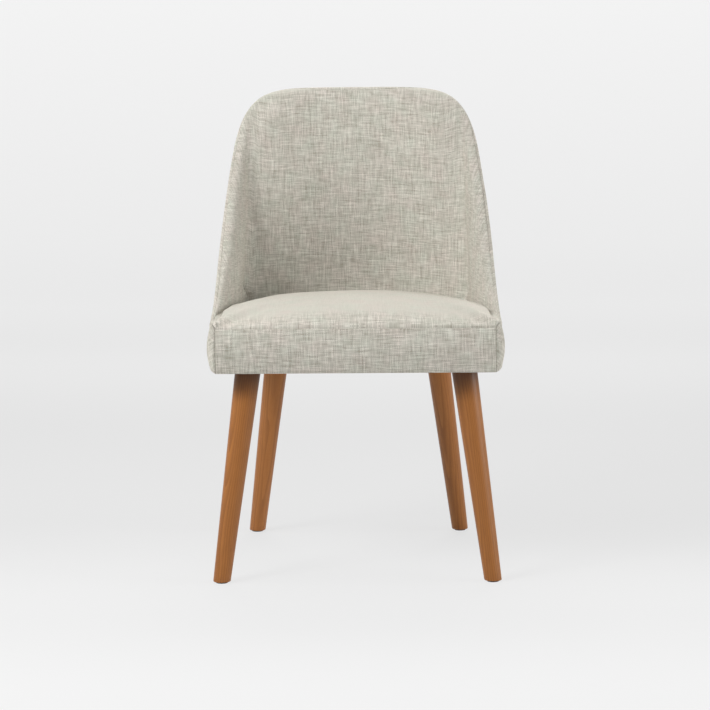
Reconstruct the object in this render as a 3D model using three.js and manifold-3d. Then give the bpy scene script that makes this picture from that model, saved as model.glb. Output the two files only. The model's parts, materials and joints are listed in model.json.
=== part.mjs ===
// Upholstered dining chair: a padded scoop of moulded plywood round a wooden seat frame, on four legs.
// Millimetres, +Z up. The sitter faces -Y, with the left hand towards +X.
import * as THREE from "three";
import { mergeVertices } from "three/addons/utils/BufferGeometryUtils.js";
import Module from "manifold-3d";

const wasm = await Module();
wasm.setup();

// Clearances
const fit = 0.3; // between two pieces that touch
const seatEase = 0.7; // round the seat cushion, inside the back and wings
const overrun = 5; // how far a cutter runs past what it cuts

// The scoop's outer face
const overallHeight = 825; // floor to the top of the back
const halfWidth = 243.8; // middle to the outer face beside the seat, without its swelling
const bodyDepth = 481; // front band to the outer back, beside the frame
const backLean = 69; // how much further back the top edge stands
const backLeanPower = 1.25;
const cornerDepth = 175; // how far the rounded back reaches forwards, beside the frame
const cornerDepthTop = 75; // the same at the top edge
const backFlatShare = 0.62; // of the half width, before the back curves round
const sideFlatShare = 0.5; // of the corner's depth, before the side curves round
const narrowingStart = 440; // height where the sides begin to draw in
const topNarrowing = 43.6; // how far each side has drawn in at the top
const frontCornerWidth = 10; // corner between the side and the front band
const frontCornerDepth = 13;

// The scoop's rim
const shoulderDrop = 76; // top of the back to the shoulder, where the wing begins
const shoulderPower = 4;
const wingFrontDrop = 12; // seat's front edge down to the rim at the wing's front end
const wingSweepShare = 0.3; // how fast the rim falls along the wing
const cornerDrop = 10; // further fall of the rim round the front corner
const rimRollShare = 0.45; // height of the rounded edge, of the thickness there
const steepestRim = 2.3; // limit for the roll's stretch where the rim is steep

// Padded thickness of the scoop
const backThickness = 48; // behind the sitter
const shoulderThickness = 37;
const wingThickness = 12.4; // at the wing's front end
const wingRollThickness = 34; // behind it, before the shoulder
const cornerThickness = 3.6; // at the seam with the front band
const wingThinningShare = 0.4; // of the wing's length, over which its front end thins
const topThinningShare = 0.32;

// Heights of the seat
const upholsteryBottom = 359; // lowest edge of the covers
const hemHeight = 11; // soft lower edge of the covers, up to the bottom of the frame
const hemDepth = 14; // and inwards, at the sides and behind
const cornerHemDepth = 7.5; // the same in front
const railHeight = 38;
const seatBoxHeight = 91; // lowest edge of the covers to the seat surface where it meets the back
const seatFrontRise = 8; // how much higher the seat's front edge is
const seatCrown = 14; // extra height in the middle of the seat
const seatRoll = 24; // rounded edge of the seat, inwards at the front and back
const seatRollSideShare = 0.4; // of that, at the sides
const seatRollDrop = 23; // and downwards
const seatCornerRadius = 5; // front corners of the seat cushion

// Layers of the upholstery
const fabric = 1.5;
const plyThickness = 7;
const sidePadding = 5; // how far the wadding swells the seat's sides and front
const swellBelow = 2; // start of the swelling below the bottom of the frame
const swellFullness = 0.75;
const swellStartShare = 0.6; // of the way from the middle of the back to the shoulder
const turnUnder = 22; // width of cloth turned under the frame
const cornerTurnUnder = 8.5;
const turnUnderTaperShare = 0.6; // of the wing's length, before the hem narrows to the corner
const seamAngleBack = 128; // degrees round the rolled edge, from its outer side
const seamAngleShoulder = 50;
const seamAngleWing = 86;
const seamOpening = 2; // degrees between the two covers' edges

// The wooden seat frame
const railThickness = 22;
const tenonLength = 14;
const tenonThickness = 8;
const tenonHeight = 24;
const bowEndShare = 1.05; // station where the rear bow meets the side rails
const railEase = 3; // the side rails stop this far behind the front rail's face
const blockThickness = 28;
const blockReach = 98; // length of a front corner block along each rail
const blockEar = 28; // depth of a block's two ends
const rearBlockStartShare = 0.28; // stations where a rear block begins and ends
const rearBlockEndShare = 1.12;

// Webbing
const strapWidth = 50;
const strapThickness = 1.6;
const strapGrip = 16; // length of strap on a rail
const crossingEase = 2; // level strap on each side of a crossing
const lengthwaysPitch = 88; // between the middles of two straps
const firstCrossways = 85; // front face to the middle of the first strap
const lastCrossways = 212; // middle of the last strap to the rear face

// Legs and what fixes them
const legTopDiameter = 43.7;
const legFootDiameter = 29.5;
const footEase = 1.6; // rounding of the foot's edge
const frontLegTop = { fromSide: 62.6, fromEnd: 59.5 }; // from the outer face at the side and at the front
const frontLegFoot = { fromSide: 14.3, fromEnd: 29 };
const rearLegTop = { fromSide: 101.6, fromEnd: 88.6 }; // from the outer face at the side and at the rear
const rearLegFoot = { fromSide: 54.3, fromEnd: -10 };
const dustCoverThickness = 1;
const hangerBoltDiameter = 8;
const hangerBoltInLeg = 34;
const hangerBoltAbove = 7; // past the tee nut
const boltPoint = 6; // length of the pointed end
const boltEase = 1;
const glideDiameter = 21;
const glideThickness = 2;
const glideEase = 0.7;
const glideNailDiameter = 2.4;
const glideNailLength = 13;
const glideNailPoint = 3;

// Tee nuts, bolts and screws
const legNut = {
  flange: 22,
  flangeThickness: 1.6,
  barrel: 10.4,
  length: 11,
  prongReach: 8.4,
  prongLength: 6,
};
const backNut = {
  flange: 15,
  flangeThickness: 1.2,
  barrel: 8.4,
  length: 4.4,
  prongReach: 5.9,
  prongLength: 3,
};
const prongWidth = 2.6;
const prongThickness = 1.2;
const prongCount = 4;
const nutInset = 0.9; // flange below the plywood's outer face
const backBoltDiameter = 6;
const backBoltHead = 12;
const backBoltHeadHeight = 4;
const backBoltSocket = 4.4;
const backBoltSocketDepth = 2.4;
const rearBoltShare = 0.1875; // station of a bolt through the rear bow
const sideBoltShare = 1.24; // station of the rear bolt through a side rail
const boltBeyondBlock = 20; // end of a front block to the front bolt through a side rail
const screwDiameter = 4.4;
const screwHead = 9;
const screwHeadHeight = 3;
const screwHeadRoom = 1; // round the head, in its pocket
const screwSeat = 20; // head to the rail
const screwLength = 37;
const screwPoint = 6;
const screwFromEnd = 14; // screw to the end of its block
const rearScrewShares = [0.35, 1.07]; // stations

// Smoothness
const roundSides = 20;
const smallRoundSides = 10;
const backSteps = 8;
const wingSteps = 7;
const wingStepPower = 1.3;
const cornerSteps = 3;
const lowerSteps = 4;
const heightSteps = 5;
const heightStepPower = 1.5;
const outerRollSteps = 4;
const innerRollSteps = 5;
const seatRollSteps = 4;
const searchSteps = 40;
const crownRingShares = [0.84, 0.58, 0.3];

// Stations round the scoop's plan: the shoulder, the wing's front end and the seam with the front band
const shoulderShare = 1;
const wingEndShare = 2;
const cornerEndShare = 3;

// Worked out from the sizes above
const frontFace = bodyDepth / 2; // from the plan's origin, as the next
const rearFace = bodyDepth / 2;
const seatEdgeRear = upholsteryBottom + seatBoxHeight;
const seatEdgeFront = seatEdgeRear + seatFrontRise;
const frameBottom = upholsteryBottom + hemHeight;
const railTop = frameBottom + railHeight;
const railMiddle = frameBottom + railHeight / 2;
const blockTop = frameBottom + blockThickness;
const blockMiddle = frameBottom + blockThickness / 2;
const plyOuter = fabric + fit;
const plyInner = plyOuter + plyThickness;
const railOuter = plyInner + fit;
const railInner = railOuter + railThickness;
const blockOuter = railInner + fit;
const strapMiddle = railTop + fit + strapThickness / 2;
const weaveRise = (strapThickness + fit) / 2;
const paddingBottom = strapMiddle + weaveRise + strapThickness / 2 + fit;
const turnUnderTop = frameBottom - fit;
const dustCoverTop = frameBottom - fit;
const dustCoverBottom = dustCoverTop - dustCoverThickness;
const legTop = dustCoverBottom - fit;
const legFoot = glideThickness + fit;
const bandTop = seatEdgeFront - seatRollDrop - fit;
const wingFrontHeight = seatEdgeFront - wingFrontDrop;
const frontRailFace = plyOuter - frontFace;
const frontRailInner = frontRailFace + railThickness;
const sideRailInner = halfWidth - railInner;
const up = new THREE.Vector3(0, 0, 1);
const down = new THREE.Vector3(0, 0, -1);
const sides = { left: 1, right: -1 };
const lengthwaysStraps = [-lengthwaysPitch, 0, lengthwaysPitch]; // their middles, across the seat
const firstStrap = firstCrossways - frontFace;
const lastStrap = rearFace - lastCrossways;
const crosswaysStraps = [firstStrap, (firstStrap + lastStrap) / 2, lastStrap]; // front to back

// Materials
function finish(color, roughness, metalness = 0) {
  return new THREE.MeshStandardMaterial({ color, roughness, metalness });
}

const cloth = finish(0xbab5a6, 0.95);
const undercloth = finish(0x2b2a28, 0.95);
const foam = finish(0xe6ddbf, 0.9);
const wadding = finish(0xeeece6, 0.95);
const plywood = finish(0xcfae7c, 0.6);
const beech = finish(0xc79c6b, 0.6);
const walnutStain = finish(0x8a5230, 0.42);
const zincPlate = finish(0xb4b6b6, 0.35, 1);
const nylon = finish(0x3a332d, 0.5);
const elastic = finish(0x4a443c, 0.85);

// Heights, widths and thickness of the scoop
const clamp01 = (value) => Math.min(1, Math.max(0, value));
const smooth = (value) => value * value * (3 - 2 * value);
const mix = (from, to, share) => from + (to - from) * share;
const spread = (from, to, steps) => Array.from({ length: steps + 1 }, (_, i) => mix(from, to, i / steps));
const riseAt = (z) => clamp01((z - paddingBottom) / (overallHeight - paddingBottom));
const rearFaceAt = (z) => rearFace + backLean * riseAt(z) ** backLeanPower;
const cornerDepthAt = (z) => mix(cornerDepth, cornerDepthTop, riseAt(z));

function halfWidthAt(z) {
  const rise = clamp01((z - narrowingStart) / (overallHeight - narrowingStart));
  return halfWidth - topNarrowing * rise * rise;
}

function thicknessAt(station, z) {
  const q = Math.abs(station);
  if (q > wingEndShare) return mix(wingThickness, cornerThickness, q - wingEndShare);
  const wing =
    mix(wingRollThickness, shoulderThickness, clamp01(wingEndShare - q)) -
    (wingRollThickness - wingThickness) * smooth(clamp01(1 - (wingEndShare - q) / wingThinningShare));
  const full = q < shoulderShare ? mix(backThickness, shoulderThickness, smooth(q)) : wing;
  return full * (1 - topThinningShare * clamp01((z - seatEdgeRear) / (overallHeight - seatEdgeRear)));
}

// A point of the outer face in plan. Station 0 is the middle of the back; negative stations, on the
// sitter's right, mirror the others.
function planPoint(q, z) {
  const width = halfWidthAt(z);
  const rear = rearFaceAt(z);
  const shoulder = rear - cornerDepthAt(z);
  const wingFront = frontCornerDepth - frontFace;
  if (q <= shoulderShare) {
    const p = 1 - q;
    return new THREE.Vector2(
      width * (3 * p * p * q * backFlatShare + 3 * p * q * q + q * q * q),
      mix(shoulder, rear, p * p * p + 3 * p * p * q + 3 * p * q * q * sideFlatShare),
    );
  }
  if (q <= wingEndShare) return new THREE.Vector2(width, mix(shoulder, wingFront, q - shoulderShare));
  const turn = ((q - wingEndShare) * Math.PI) / 2;
  return new THREE.Vector2(
    width - frontCornerWidth * (1 - Math.cos(turn)),
    wingFront - frontCornerDepth * Math.sin(turn),
  );
}

function planTangent(q, z) {
  const step = 0.002;
  const low = Math.max(0, q - step);
  const high = Math.min(cornerEndShare, q + step);
  return planPoint(high, z).sub(planPoint(low, z)).divideScalar(high - low);
}

// The level direction out of the scoop at a station.
function outward(station) {
  const q = Math.abs(station);
  const tangent = q === 0 ? new THREE.Vector2(1, 0) : planTangent(q, frameBottom).normalize();
  return new THREE.Vector3(station < 0 ? tangent.y : -tangent.y, tangent.x, 0);
}

// A point inset from the outer face, measured level and square to the plan.
function scoopPoint(station, inset, z) {
  const q = Math.abs(station);
  const tangent = q === 0 ? new THREE.Vector2(1, 0) : planTangent(q, z).normalize();
  const point = planPoint(q, z).add(new THREE.Vector2(tangent.y, -tangent.x).multiplyScalar(inset));
  return new THREE.Vector3(station < 0 ? -point.x : point.x, point.y, z);
}

function rimAt(q) {
  const shoulder = overallHeight - shoulderDrop;
  if (q <= shoulderShare) return overallHeight - shoulderDrop * q ** shoulderPower;
  if (q > wingEndShare) return wingFrontHeight - cornerDrop * (q - wingEndShare) ** 2;
  const end = Math.exp(-1 / wingSweepShare);
  return mix(wingFrontHeight, shoulder, (Math.exp((1 - q) / wingSweepShare) - end) / (1 - end));
}

// The rounded edge at a station: its thickness, its height, and the height where it starts.
function rimRoll(station) {
  const q = Math.abs(station);
  const step = 0.01;
  const rim = rimAt(q);
  const fall = (rimAt(Math.min(cornerEndShare, q + step)) - rimAt(Math.max(0, q - step))) / (2 * step);
  const steepness = Math.min(steepestRim, Math.hypot(1, fall / planTangent(q, rim).length()));
  const thickness = thicknessAt(q, rim);
  const height = rimRollShare * thickness * steepness;
  return { thickness, height, steepness, start: rim - height };
}

// A point of the rolled edge, by its angle from the outer side, inset into the padding.
function rollPoint(roll, degrees, inset) {
  const angle = THREE.MathUtils.degToRad(degrees);
  const half = roll.thickness / 2;
  return [
    half - (half - inset) * Math.cos(angle),
    roll.start + (roll.height - inset * roll.steepness) * Math.sin(angle),
  ];
}

// Angles of the rolled edge on either side of the seam between the covers
function seamAngle(station) {
  const q = Math.abs(station);
  if (q < shoulderShare) return mix(seamAngleBack, seamAngleShoulder, smooth(q));
  return mix(seamAngleShoulder, seamAngleWing, smooth(clamp01(q - shoulderShare)));
}

const outerAngles = (station) => spread(0, seamAngle(station) - seamOpening / 2, outerRollSteps).slice(1);
const innerAngles = (station) =>
  spread(seamAngle(station) + seamOpening / 2, 180, innerRollSteps).slice(0, -1);

// Heights where every layer has the corners of its facets, so that no layer cuts the next
const lowerLevels = spread(frameBottom, paddingBottom, lowerSteps);
function upperLevels(station) {
  const top = rimRoll(station).start;
  return spread(0, 1, heightSteps).map((share) => mix(paddingBottom, top, share ** heightStepPower));
}

function stations(last) {
  const half = spread(0, 1, backSteps);
  for (let i = 1; i <= wingSteps; i++) half.push(1 + (i / wingSteps) ** wingStepPower);
  for (let i = 1; i <= cornerSteps; i++) half.push(2 + i / cornerSteps);
  const kept = half.filter((q) => q < last);
  kept.push(last);
  return [...kept.slice(1).reverse().map((q) => -q), ...kept];
}

// How far the wadding pushes the covers out, beside and in front of the seat frame
function swell(station, z) {
  const bottom = frameBottom - swellBelow;
  const share = clamp01((z - bottom) / (bandTop - bottom));
  const round = smooth(clamp01((Math.abs(station) - swellStartShare) / (1 - swellStartShare)));
  return sidePadding * Math.max(0, Math.sin(Math.PI * share)) ** swellFullness * round;
}

// How far along its narrowing the hem is: 0 beside the seat and behind it, 1 at the front corner
function hemTaper(station) {
  return clamp01((Math.abs(station) - 1 - turnUnderTaperShare) / (1 - turnUnderTaperShare));
}

// Solids from points
function closedGeometry(points, triangles) {
  const geometry = new THREE.BufferGeometry().setFromPoints(points);
  const volumeOf = ([a, b, c]) => points[a].dot(points[b].clone().cross(points[c]));
  const volume = triangles.reduce((sum, triangle) => sum + volumeOf(triangle), 0);
  geometry.setIndex(triangles.flatMap(([a, b, c]) => (volume < 0 ? [a, c, b] : [a, b, c])));
  geometry.computeVertexNormals();
  return geometry;
}

// Triangles that close a ring, wound with its points or against them.
function capTriangles(section, offset, against) {
  const outline = section.map(([u, v]) => new THREE.Vector2(u, v));
  const faces = THREE.ShapeUtils.triangulateShape(outline, []);
  const area = faces.reduce((sum, face) => sum + THREE.ShapeUtils.area(face.map((i) => outline[i])), 0);
  const flip = area > 0 === THREE.ShapeUtils.area(outline) > 0 === against;
  return faces.map(([a, b, c]) => (flip ? [a, c, b] : [a, b, c]).map((i) => i + offset));
}

// A solid through rings of as many points each. A section is a ring's outline in two dimensions. A quad is
// split from its lower corner on one ring to its upper corner on the next, so that layers have like facets.
function loft(rings, firstSection, lastSection) {
  const count = rings[0].length;
  const triangles = capTriangles(firstSection, 0, true);
  for (let r = 0; r + 1 < rings.length; r++) {
    for (let i = 0; i < count; i++) {
      const next = (i + 1) % count;
      const [a, b] = [r * count + i, r * count + next];
      if (rings[r][next].z < rings[r][i].z) triangles.push([a, b, a + count], [b, b + count, a + count]);
      else triangles.push([a, b, b + count], [a, b + count, a + count]);
    }
  }
  triangles.push(...capTriangles(lastSection, (rings.length - 1) * count, false));
  return closedGeometry(rings.flat(), triangles);
}

// A section of [inset, height] points carried round the stations.
function scoopLayer(around, section) {
  const rings = around.map((station) => section(station).map(([inset, z]) => scoopPoint(station, inset, z)));
  return loft(rings, section(around[0]), section(around.at(-1)));
}

// An outline of [x, y] points between two heights.
function prism(outline, bottom, top) {
  const ring = (z) => outline.map(([x, y]) => new THREE.Vector3(x, y, z));
  return loft([ring(bottom), ring(top)], outline, outline);
}

function box(from, to) {
  const size = new THREE.Vector3().subVectors(to, from);
  const middle = new THREE.Vector3().addVectors(to, from).multiplyScalar(1 / 2);
  return new THREE.BoxGeometry(Math.abs(size.x), size.y, size.z).translate(middle.x, middle.y, middle.z);
}

// A profile of [radius, distance] points turned about an axis.
function turned(profile, at, direction, facets = smallRoundSides) {
  const lathe = new THREE.LatheGeometry(profile.map(([r, d]) => new THREE.Vector2(r, d)), facets);
  lathe.applyQuaternion(new THREE.Quaternion().setFromUnitVectors(new THREE.Vector3(0, 1, 0), direction));
  return faceOut(lathe.translate(at.x, at.y, at.z));
}

function faceOut(geometry) {
  const bare = geometry.clone();
  bare.deleteAttribute("normal");
  bare.deleteAttribute("uv");
  const { attributes, index } = mergeVertices(bare);
  const point = (i) => new THREE.Vector3().fromBufferAttribute(attributes.position, i);
  const points = Array.from({ length: attributes.position.count }, (_, i) => point(i));
  const triangles = [];
  for (let i = 0; i < index.count; i += 3) {
    const [a, b, c] = [index.getX(i), index.getX(i + 1), index.getX(i + 2)];
    if (a !== b && b !== c && c !== a) triangles.push([a, b, c]);
  }
  return closedGeometry(points, triangles);
}

function drill(diameter, at, direction, from, to) {
  const r = diameter / 2;
  return turned([[0, from], [r, from], [r, to], [0, to]], at, direction);
}

// Cuts and joins
function toSolid(geometry) {
  const { attributes, index } = faceOut(geometry);
  return new wasm.Manifold(
    new wasm.Mesh({
      numProp: 3,
      vertProperties: new Float32Array(attributes.position.array),
      triVerts: new Uint32Array(index.array),
    }),
  );
}

function fromSolid(solid) {
  const mesh = solid.getMesh();
  const geometry = new THREE.BufferGeometry();
  geometry.setAttribute("position", new THREE.BufferAttribute(new Float32Array(mesh.vertProperties), 3));
  geometry.setIndex(new THREE.BufferAttribute(new Uint32Array(mesh.triVerts), 1));
  geometry.computeVertexNormals();
  return geometry;
}

function cut(body, cutters) {
  return fromSolid(cutters.reduce((solid, cutter) => solid.subtract(toSolid(cutter)), toSolid(body)));
}

function join(body, others) {
  return fromSolid(others.reduce((solid, other) => solid.add(toSolid(other)), toSolid(body)));
}

const chair = new THREE.Group();

function add(name, geometry, material) {
  const mesh = new THREE.Mesh(geometry, material);
  mesh.name = name;
  chair.add(mesh);
}

// Covers and padding of the scoop
const skirtFace = (station, levels, inset) => levels.map((z) => [inset - swell(station, z), z]);

// Where a cover turns under the frame, from its outer side to its inner side
function hemStart(under, depth) {
  const share = 1 - Math.SQRT1_2;
  return [
    [under, upholsteryBottom],
    [depth, upholsteryBottom],
    [depth * share, upholsteryBottom + hemHeight * share],
  ];
}

function hemEnd(station, under) {
  return [
    [fabric - swell(station, turnUnderTop), turnUnderTop],
    [under, turnUnderTop],
  ];
}

function outerCoverSection(station) {
  const roll = rimRoll(station);
  const under = mix(turnUnder, cornerTurnUnder, hemTaper(station));
  const levels = [...lowerLevels, ...upperLevels(station).slice(1)];
  return [
    ...hemStart(under, mix(hemDepth, cornerHemDepth, hemTaper(station))),
    ...skirtFace(station, levels, 0),
    ...outerAngles(station).map((angle) => rollPoint(roll, angle, 0)),
    ...outerAngles(station).reverse().map((angle) => rollPoint(roll, angle, fabric)),
    ...skirtFace(station, levels.slice(1).reverse(), fabric),
    ...hemEnd(station, under),
  ];
}

function frontBandSection() {
  const levels = [...lowerLevels, bandTop];
  return [
    ...hemStart(turnUnder, cornerHemDepth),
    ...skirtFace(cornerEndShare, levels, 0),
    ...skirtFace(cornerEndShare, levels.slice(1).reverse(), fabric),
    ...hemEnd(cornerEndShare, turnUnder),
  ];
}

function frontBand() {
  const reach = halfWidth - frontCornerWidth - fit;
  const section = frontBandSection();
  const ring = (x) => section.map(([inset, z]) => new THREE.Vector3(x, inset - frontFace, z));
  return loft([ring(-reach), ring(reach)], section, section);
}

function edgeWaddingSection(station) {
  return [...skirtFace(station, lowerLevels, fabric + fit), [fabric, paddingBottom], [fabric, frameBottom]];
}

// The wadding runs forwards from one shoulder, across the front and back to the other.
function edgeWaddingStations() {
  const right = stations(cornerEndShare).filter((q) => q >= shoulderShare);
  return [...right, ...right.slice().reverse().map((q) => -q)];
}

function plySection(station) {
  const levels = [...upperLevels(station).slice(0, -1), rimRoll(station).start - fit];
  return [
    [plyOuter, frameBottom],
    ...levels.map((z) => [plyOuter, z]),
    ...levels.slice().reverse().map((z) => [plyInner, z]),
    [plyInner, frameBottom],
  ];
}

function backPadSection(station) {
  const roll = rimRoll(station);
  const inset = fabric + fit;
  const levels = upperLevels(station);
  const angles = [...outerAngles(station), ...innerAngles(station)];
  return [
    ...levels.map((z) => [thicknessAt(station, z) - inset, z]),
    ...angles.reverse().map((angle) => rollPoint(roll, angle, inset)),
    [inset, roll.start],
    ...levels.slice().reverse().map((z) => [railOuter, z]),
  ];
}

function innerCoverSection(station) {
  const roll = rimRoll(station);
  const levels = upperLevels(station);
  return [
    ...innerAngles(station).map((angle) => rollPoint(roll, angle, 0)),
    ...levels.slice().reverse().map((z) => [thicknessAt(station, z), z]),
    ...levels.map((z) => [thicknessAt(station, z) - fabric, z]),
    ...innerAngles(station).reverse().map((angle) => rollPoint(roll, angle, fabric)),
  ];
}

// The seat's outline at a height and a depth into its padding, between the wings and round the front corners
function seatOutline(inset, z = seatEdgeRear - seatRollDrop) {
  const gap = seatEase + inset;
  const between = stations(wingEndShare).map((station) => {
    return scoopPoint(station, thicknessAt(station, z) + gap, z);
  });
  const cornerX = halfWidth - wingThickness - seatEase - seatCornerRadius;
  const corner = spread(0, 90, cornerSteps).map((degrees) => {
    const angle = THREE.MathUtils.degToRad(degrees);
    const reach = seatCornerRadius - inset;
    const y = seatCornerRadius - frontFace - reach * Math.sin(angle);
    return new THREE.Vector3(cornerX + reach * Math.cos(angle), y, z);
  });
  const mirrored = corner.slice().reverse().map((point) => new THREE.Vector3(-point.x, point.y, z));
  return [...between, ...corner, ...mirrored];
}

const seatRearY = scoopPoint(0, thicknessAt(0, seatEdgeRear), seatEdgeRear).y;
const seatMiddleY = (seatRearY - frontFace) / 2;
const seatHalfDepth = (seatRearY + frontFace) / 2;
const seatEdgeAt = (y) => mix(seatEdgeRear, seatEdgeFront, clamp01((seatRearY - y) / (2 * seatHalfDepth)));

// Rings of the seat's surface at a depth into it, from its lower edge over the roll and in over the crown
function seatRings(depth) {
  const outline = seatOutline(depth);
  const ring = (shrink, scale, height) =>
    outline.map((point) => {
      const x = point.x * (1 - (shrink * seatRollSideShare) / halfWidth) * scale;
      const y = seatMiddleY + (point.y - seatMiddleY) * (1 - shrink / seatHalfDepth) * scale;
      return new THREE.Vector3(x, y, seatEdgeAt(y) - depth + height);
    });
  const roll = spread(0, 90, seatRollSteps).map((degrees) => {
    const angle = THREE.MathUtils.degToRad(degrees);
    const shrink = (seatRoll - depth) * (1 - Math.cos(angle));
    return ring(shrink, 1, (depth - seatRollDrop) * (1 - Math.sin(angle)));
  });
  const crown = crownRingShares.map((share) => {
    return ring(seatRoll - depth, share, seatCrown * (1 - share * share));
  });
  return [...roll, ...crown];
}

const flat = (ring) => ring.map((point) => [point.x, point.y]);

function seatCover() {
  const rings = [...seatRings(0).reverse(), ...seatRings(fabric)];
  return loft(rings, flat(rings[0]), flat(rings.at(-1)));
}

function seatPad() {
  const depth = fabric + fit;
  const bottom = seatOutline(depth, paddingBottom);
  const rings = [bottom, ...seatRings(depth)];
  return loft(rings, flat(bottom), flat(rings.at(-1)));
}

// The seat frame
function tenon(middleY, fromX, toX, clearance) {
  const reach = tenonThickness / 2 + clearance;
  const height = tenonHeight / 2 + clearance;
  const from = new THREE.Vector3(fromX, middleY - reach, railMiddle - height);
  const to = new THREE.Vector3(toX, middleY + reach, railMiddle + height);
  return box(from, to);
}

// The bow follows the back of the scoop, and has a tenon at each end.
function rearRail() {
  const around = stations(bowEndShare);
  const face = (inset) => around.map((station) => scoopPoint(station, inset, frameBottom));
  const outline = [...face(railOuter), ...face(railInner).reverse()];
  return prism(flat(outline), frameBottom, railTop);
}

const sideRailRear = planPoint(bowEndShare, frameBottom).y - fit;
const sideRailFront = frontRailFace + railEase;

function sideRail(side) {
  const outer = halfWidth - railOuter;
  const from = new THREE.Vector3(side * sideRailInner, sideRailFront, frameBottom);
  const to = new THREE.Vector3(side * outer, sideRailRear, railTop);
  return box(from, to);
}

function frontRail() {
  const reach = sideRailInner - fit;
  const from = new THREE.Vector3(-reach, frontRailFace, frameBottom);
  const to = new THREE.Vector3(reach, frontRailInner, railTop);
  return box(from, to);
}

// A tenon of the front rail, level across the chair
const frontTenonY = (frontRailFace + frontRailInner) / 2;

function frontTenon(side, clearance) {
  const root = side * (sideRailInner - fit - overrun);
  const tip = side * (sideRailInner + tenonLength + clearance);
  return tenon(frontTenonY, root, tip, clearance);
}

// A tenon of the bow, running forwards into the side rail
function bowTenon(side, clearance) {
  const x = side * (sideRailInner + railThickness / 2);
  const reach = tenonThickness / 2 + clearance;
  const height = tenonHeight / 2 + clearance;
  const from = new THREE.Vector3(x - reach, sideRailRear - tenonLength - clearance, railMiddle - height);
  const to = new THREE.Vector3(x + reach, sideRailRear + fit + overrun, railMiddle + height);
  return box(from, to);
}

// Screws and bolts through the frame: where each meets the rail's inner face, and its direction outwards
function atStation(station, z) {
  return { at: scoopPoint(station, railInner, z), direction: outward(station) };
}

function screwPlaces() {
  const places = {};
  for (const [name, side] of Object.entries(sides)) {
    const along = side * (sideRailInner - blockReach + screwFromEnd);
    const back = frontRailInner + blockReach - screwFromEnd;
    places[`front_${name}_1`] = {
      at: new THREE.Vector3(along, frontRailInner, blockMiddle),
      direction: new THREE.Vector3(0, -1, 0),
    };
    places[`front_${name}_2`] = {
      at: new THREE.Vector3(side * sideRailInner, back, blockMiddle),
      direction: new THREE.Vector3(side, 0, 0),
    };
    rearScrewShares.forEach((station, i) => {
      places[`rear_${name}_${i + 1}`] = atStation(side * station, blockMiddle);
    });
  }
  return places;
}

// The station beside a point of the side rail, by its distance from the front face
function sideStation(fromFront) {
  const shoulder = planPoint(shoulderShare, frameBottom).y;
  const wingFront = planPoint(wingEndShare, frameBottom).y;
  return shoulderShare + (shoulder - fromFront + frontFace) / (shoulder - wingFront);
}

function backBoltPlaces() {
  const places = {};
  const blockEnd = frontRailInner + fit + blockReach + frontFace;
  const frontBolt = sideStation(blockEnd + boltBeyondBlock);
  const where = { rear: rearBoltShare, side_rear: sideBoltShare, side_front: frontBolt };
  for (const [place, station] of Object.entries(where)) {
    for (const [name, side] of Object.entries(sides)) {
      places[`${place}_${name}`] = atStation(side * station, railMiddle);
    }
  }
  return places;
}

const screws = screwPlaces();
const backBolts = backBoltPlaces();
const beyondRail = screwLength - screwSeat; // length of a screw in its rail

function blockScrew({ at, direction }) {
  const r = screwDiameter / 2;
  const head = screwHead / 2;
  const profile = [
    [0, -screwSeat - screwHeadHeight],
    [head / 2, -screwSeat - screwHeadHeight],
    [head, -screwSeat - screwHeadHeight / 2],
    [head, -screwSeat],
    [r, -screwSeat],
    [r, beyondRail - screwPoint],
    [0, beyondRail],
  ];
  return turned(profile, at, direction);
}

// Room for a screw: its shank all along, and a pocket for its head in the block.
function screwRoom({ at, direction }) {
  const shank = drill(screwDiameter + 2 * fit, at, direction, -screwSeat - overrun, beyondRail + fit);
  const pocketEnd = -screwSeat - blockReach;
  const pocket = drill(screwHead + 2 * screwHeadRoom, at, direction, pocketEnd, fit - screwSeat);
  return [shank, pocket];
}

function backBolt({ at, direction }) {
  const r = backBoltDiameter / 2;
  const head = backBoltHead / 2;
  const headTop = -fit - backBoltHeadHeight;
  const tip = railThickness + fit + plyThickness - nutInset;
  const profile = [
    [0, headTop + backBoltSocketDepth],
    [backBoltSocket / 2, headTop + backBoltSocketDepth],
    [backBoltSocket / 2, headTop],
    [head - boltEase, headTop],
    [head, headTop + boltEase],
    [head, -fit],
    [r, -fit],
    [r, tip - boltEase],
    [r - boltEase, tip],
    [0, tip],
  ];
  return turned(profile, at, direction);
}

// A tee nut by the middle of its flange's underside and the direction in which its barrel is pushed.
function teeNutProfile(nut, bore, clearance) {
  const flange = nut.flange / 2 + clearance;
  const barrel = nut.barrel / 2 + clearance;
  const back = -nut.flangeThickness - clearance;
  return [
    [bore, back],
    [flange, back],
    [flange, clearance],
    [barrel, clearance],
    [barrel, nut.length + clearance],
    [bore, nut.length + clearance],
  ];
}

function prongs(nut, at, direction, clearance) {
  const turn = new THREE.Quaternion().setFromUnitVectors(up, direction);
  return Array.from({ length: prongCount }, (_, i) => {
    const [near, far] = [nut.prongReach - prongThickness / 2, nut.prongReach + prongThickness / 2];
    const from = new THREE.Vector3(near, -prongWidth / 2, -nut.flangeThickness / 2);
    const to = new THREE.Vector3(far, prongWidth / 2, nut.prongLength);
    const prong = box(from.subScalar(clearance), to.addScalar(clearance));
    prong.rotateZ(((i + 1 / 2) / prongCount) * 2 * Math.PI).applyQuaternion(turn);
    return prong.translate(at.x, at.y, at.z);
  });
}

function teeNut(nut, boltDiameter, { at, direction }) {
  const profile = teeNutProfile(nut, boltDiameter / 2 + fit, 0);
  return join(turned([...profile, profile[0]], at, direction), prongs(nut, at, direction, 0));
}

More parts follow.
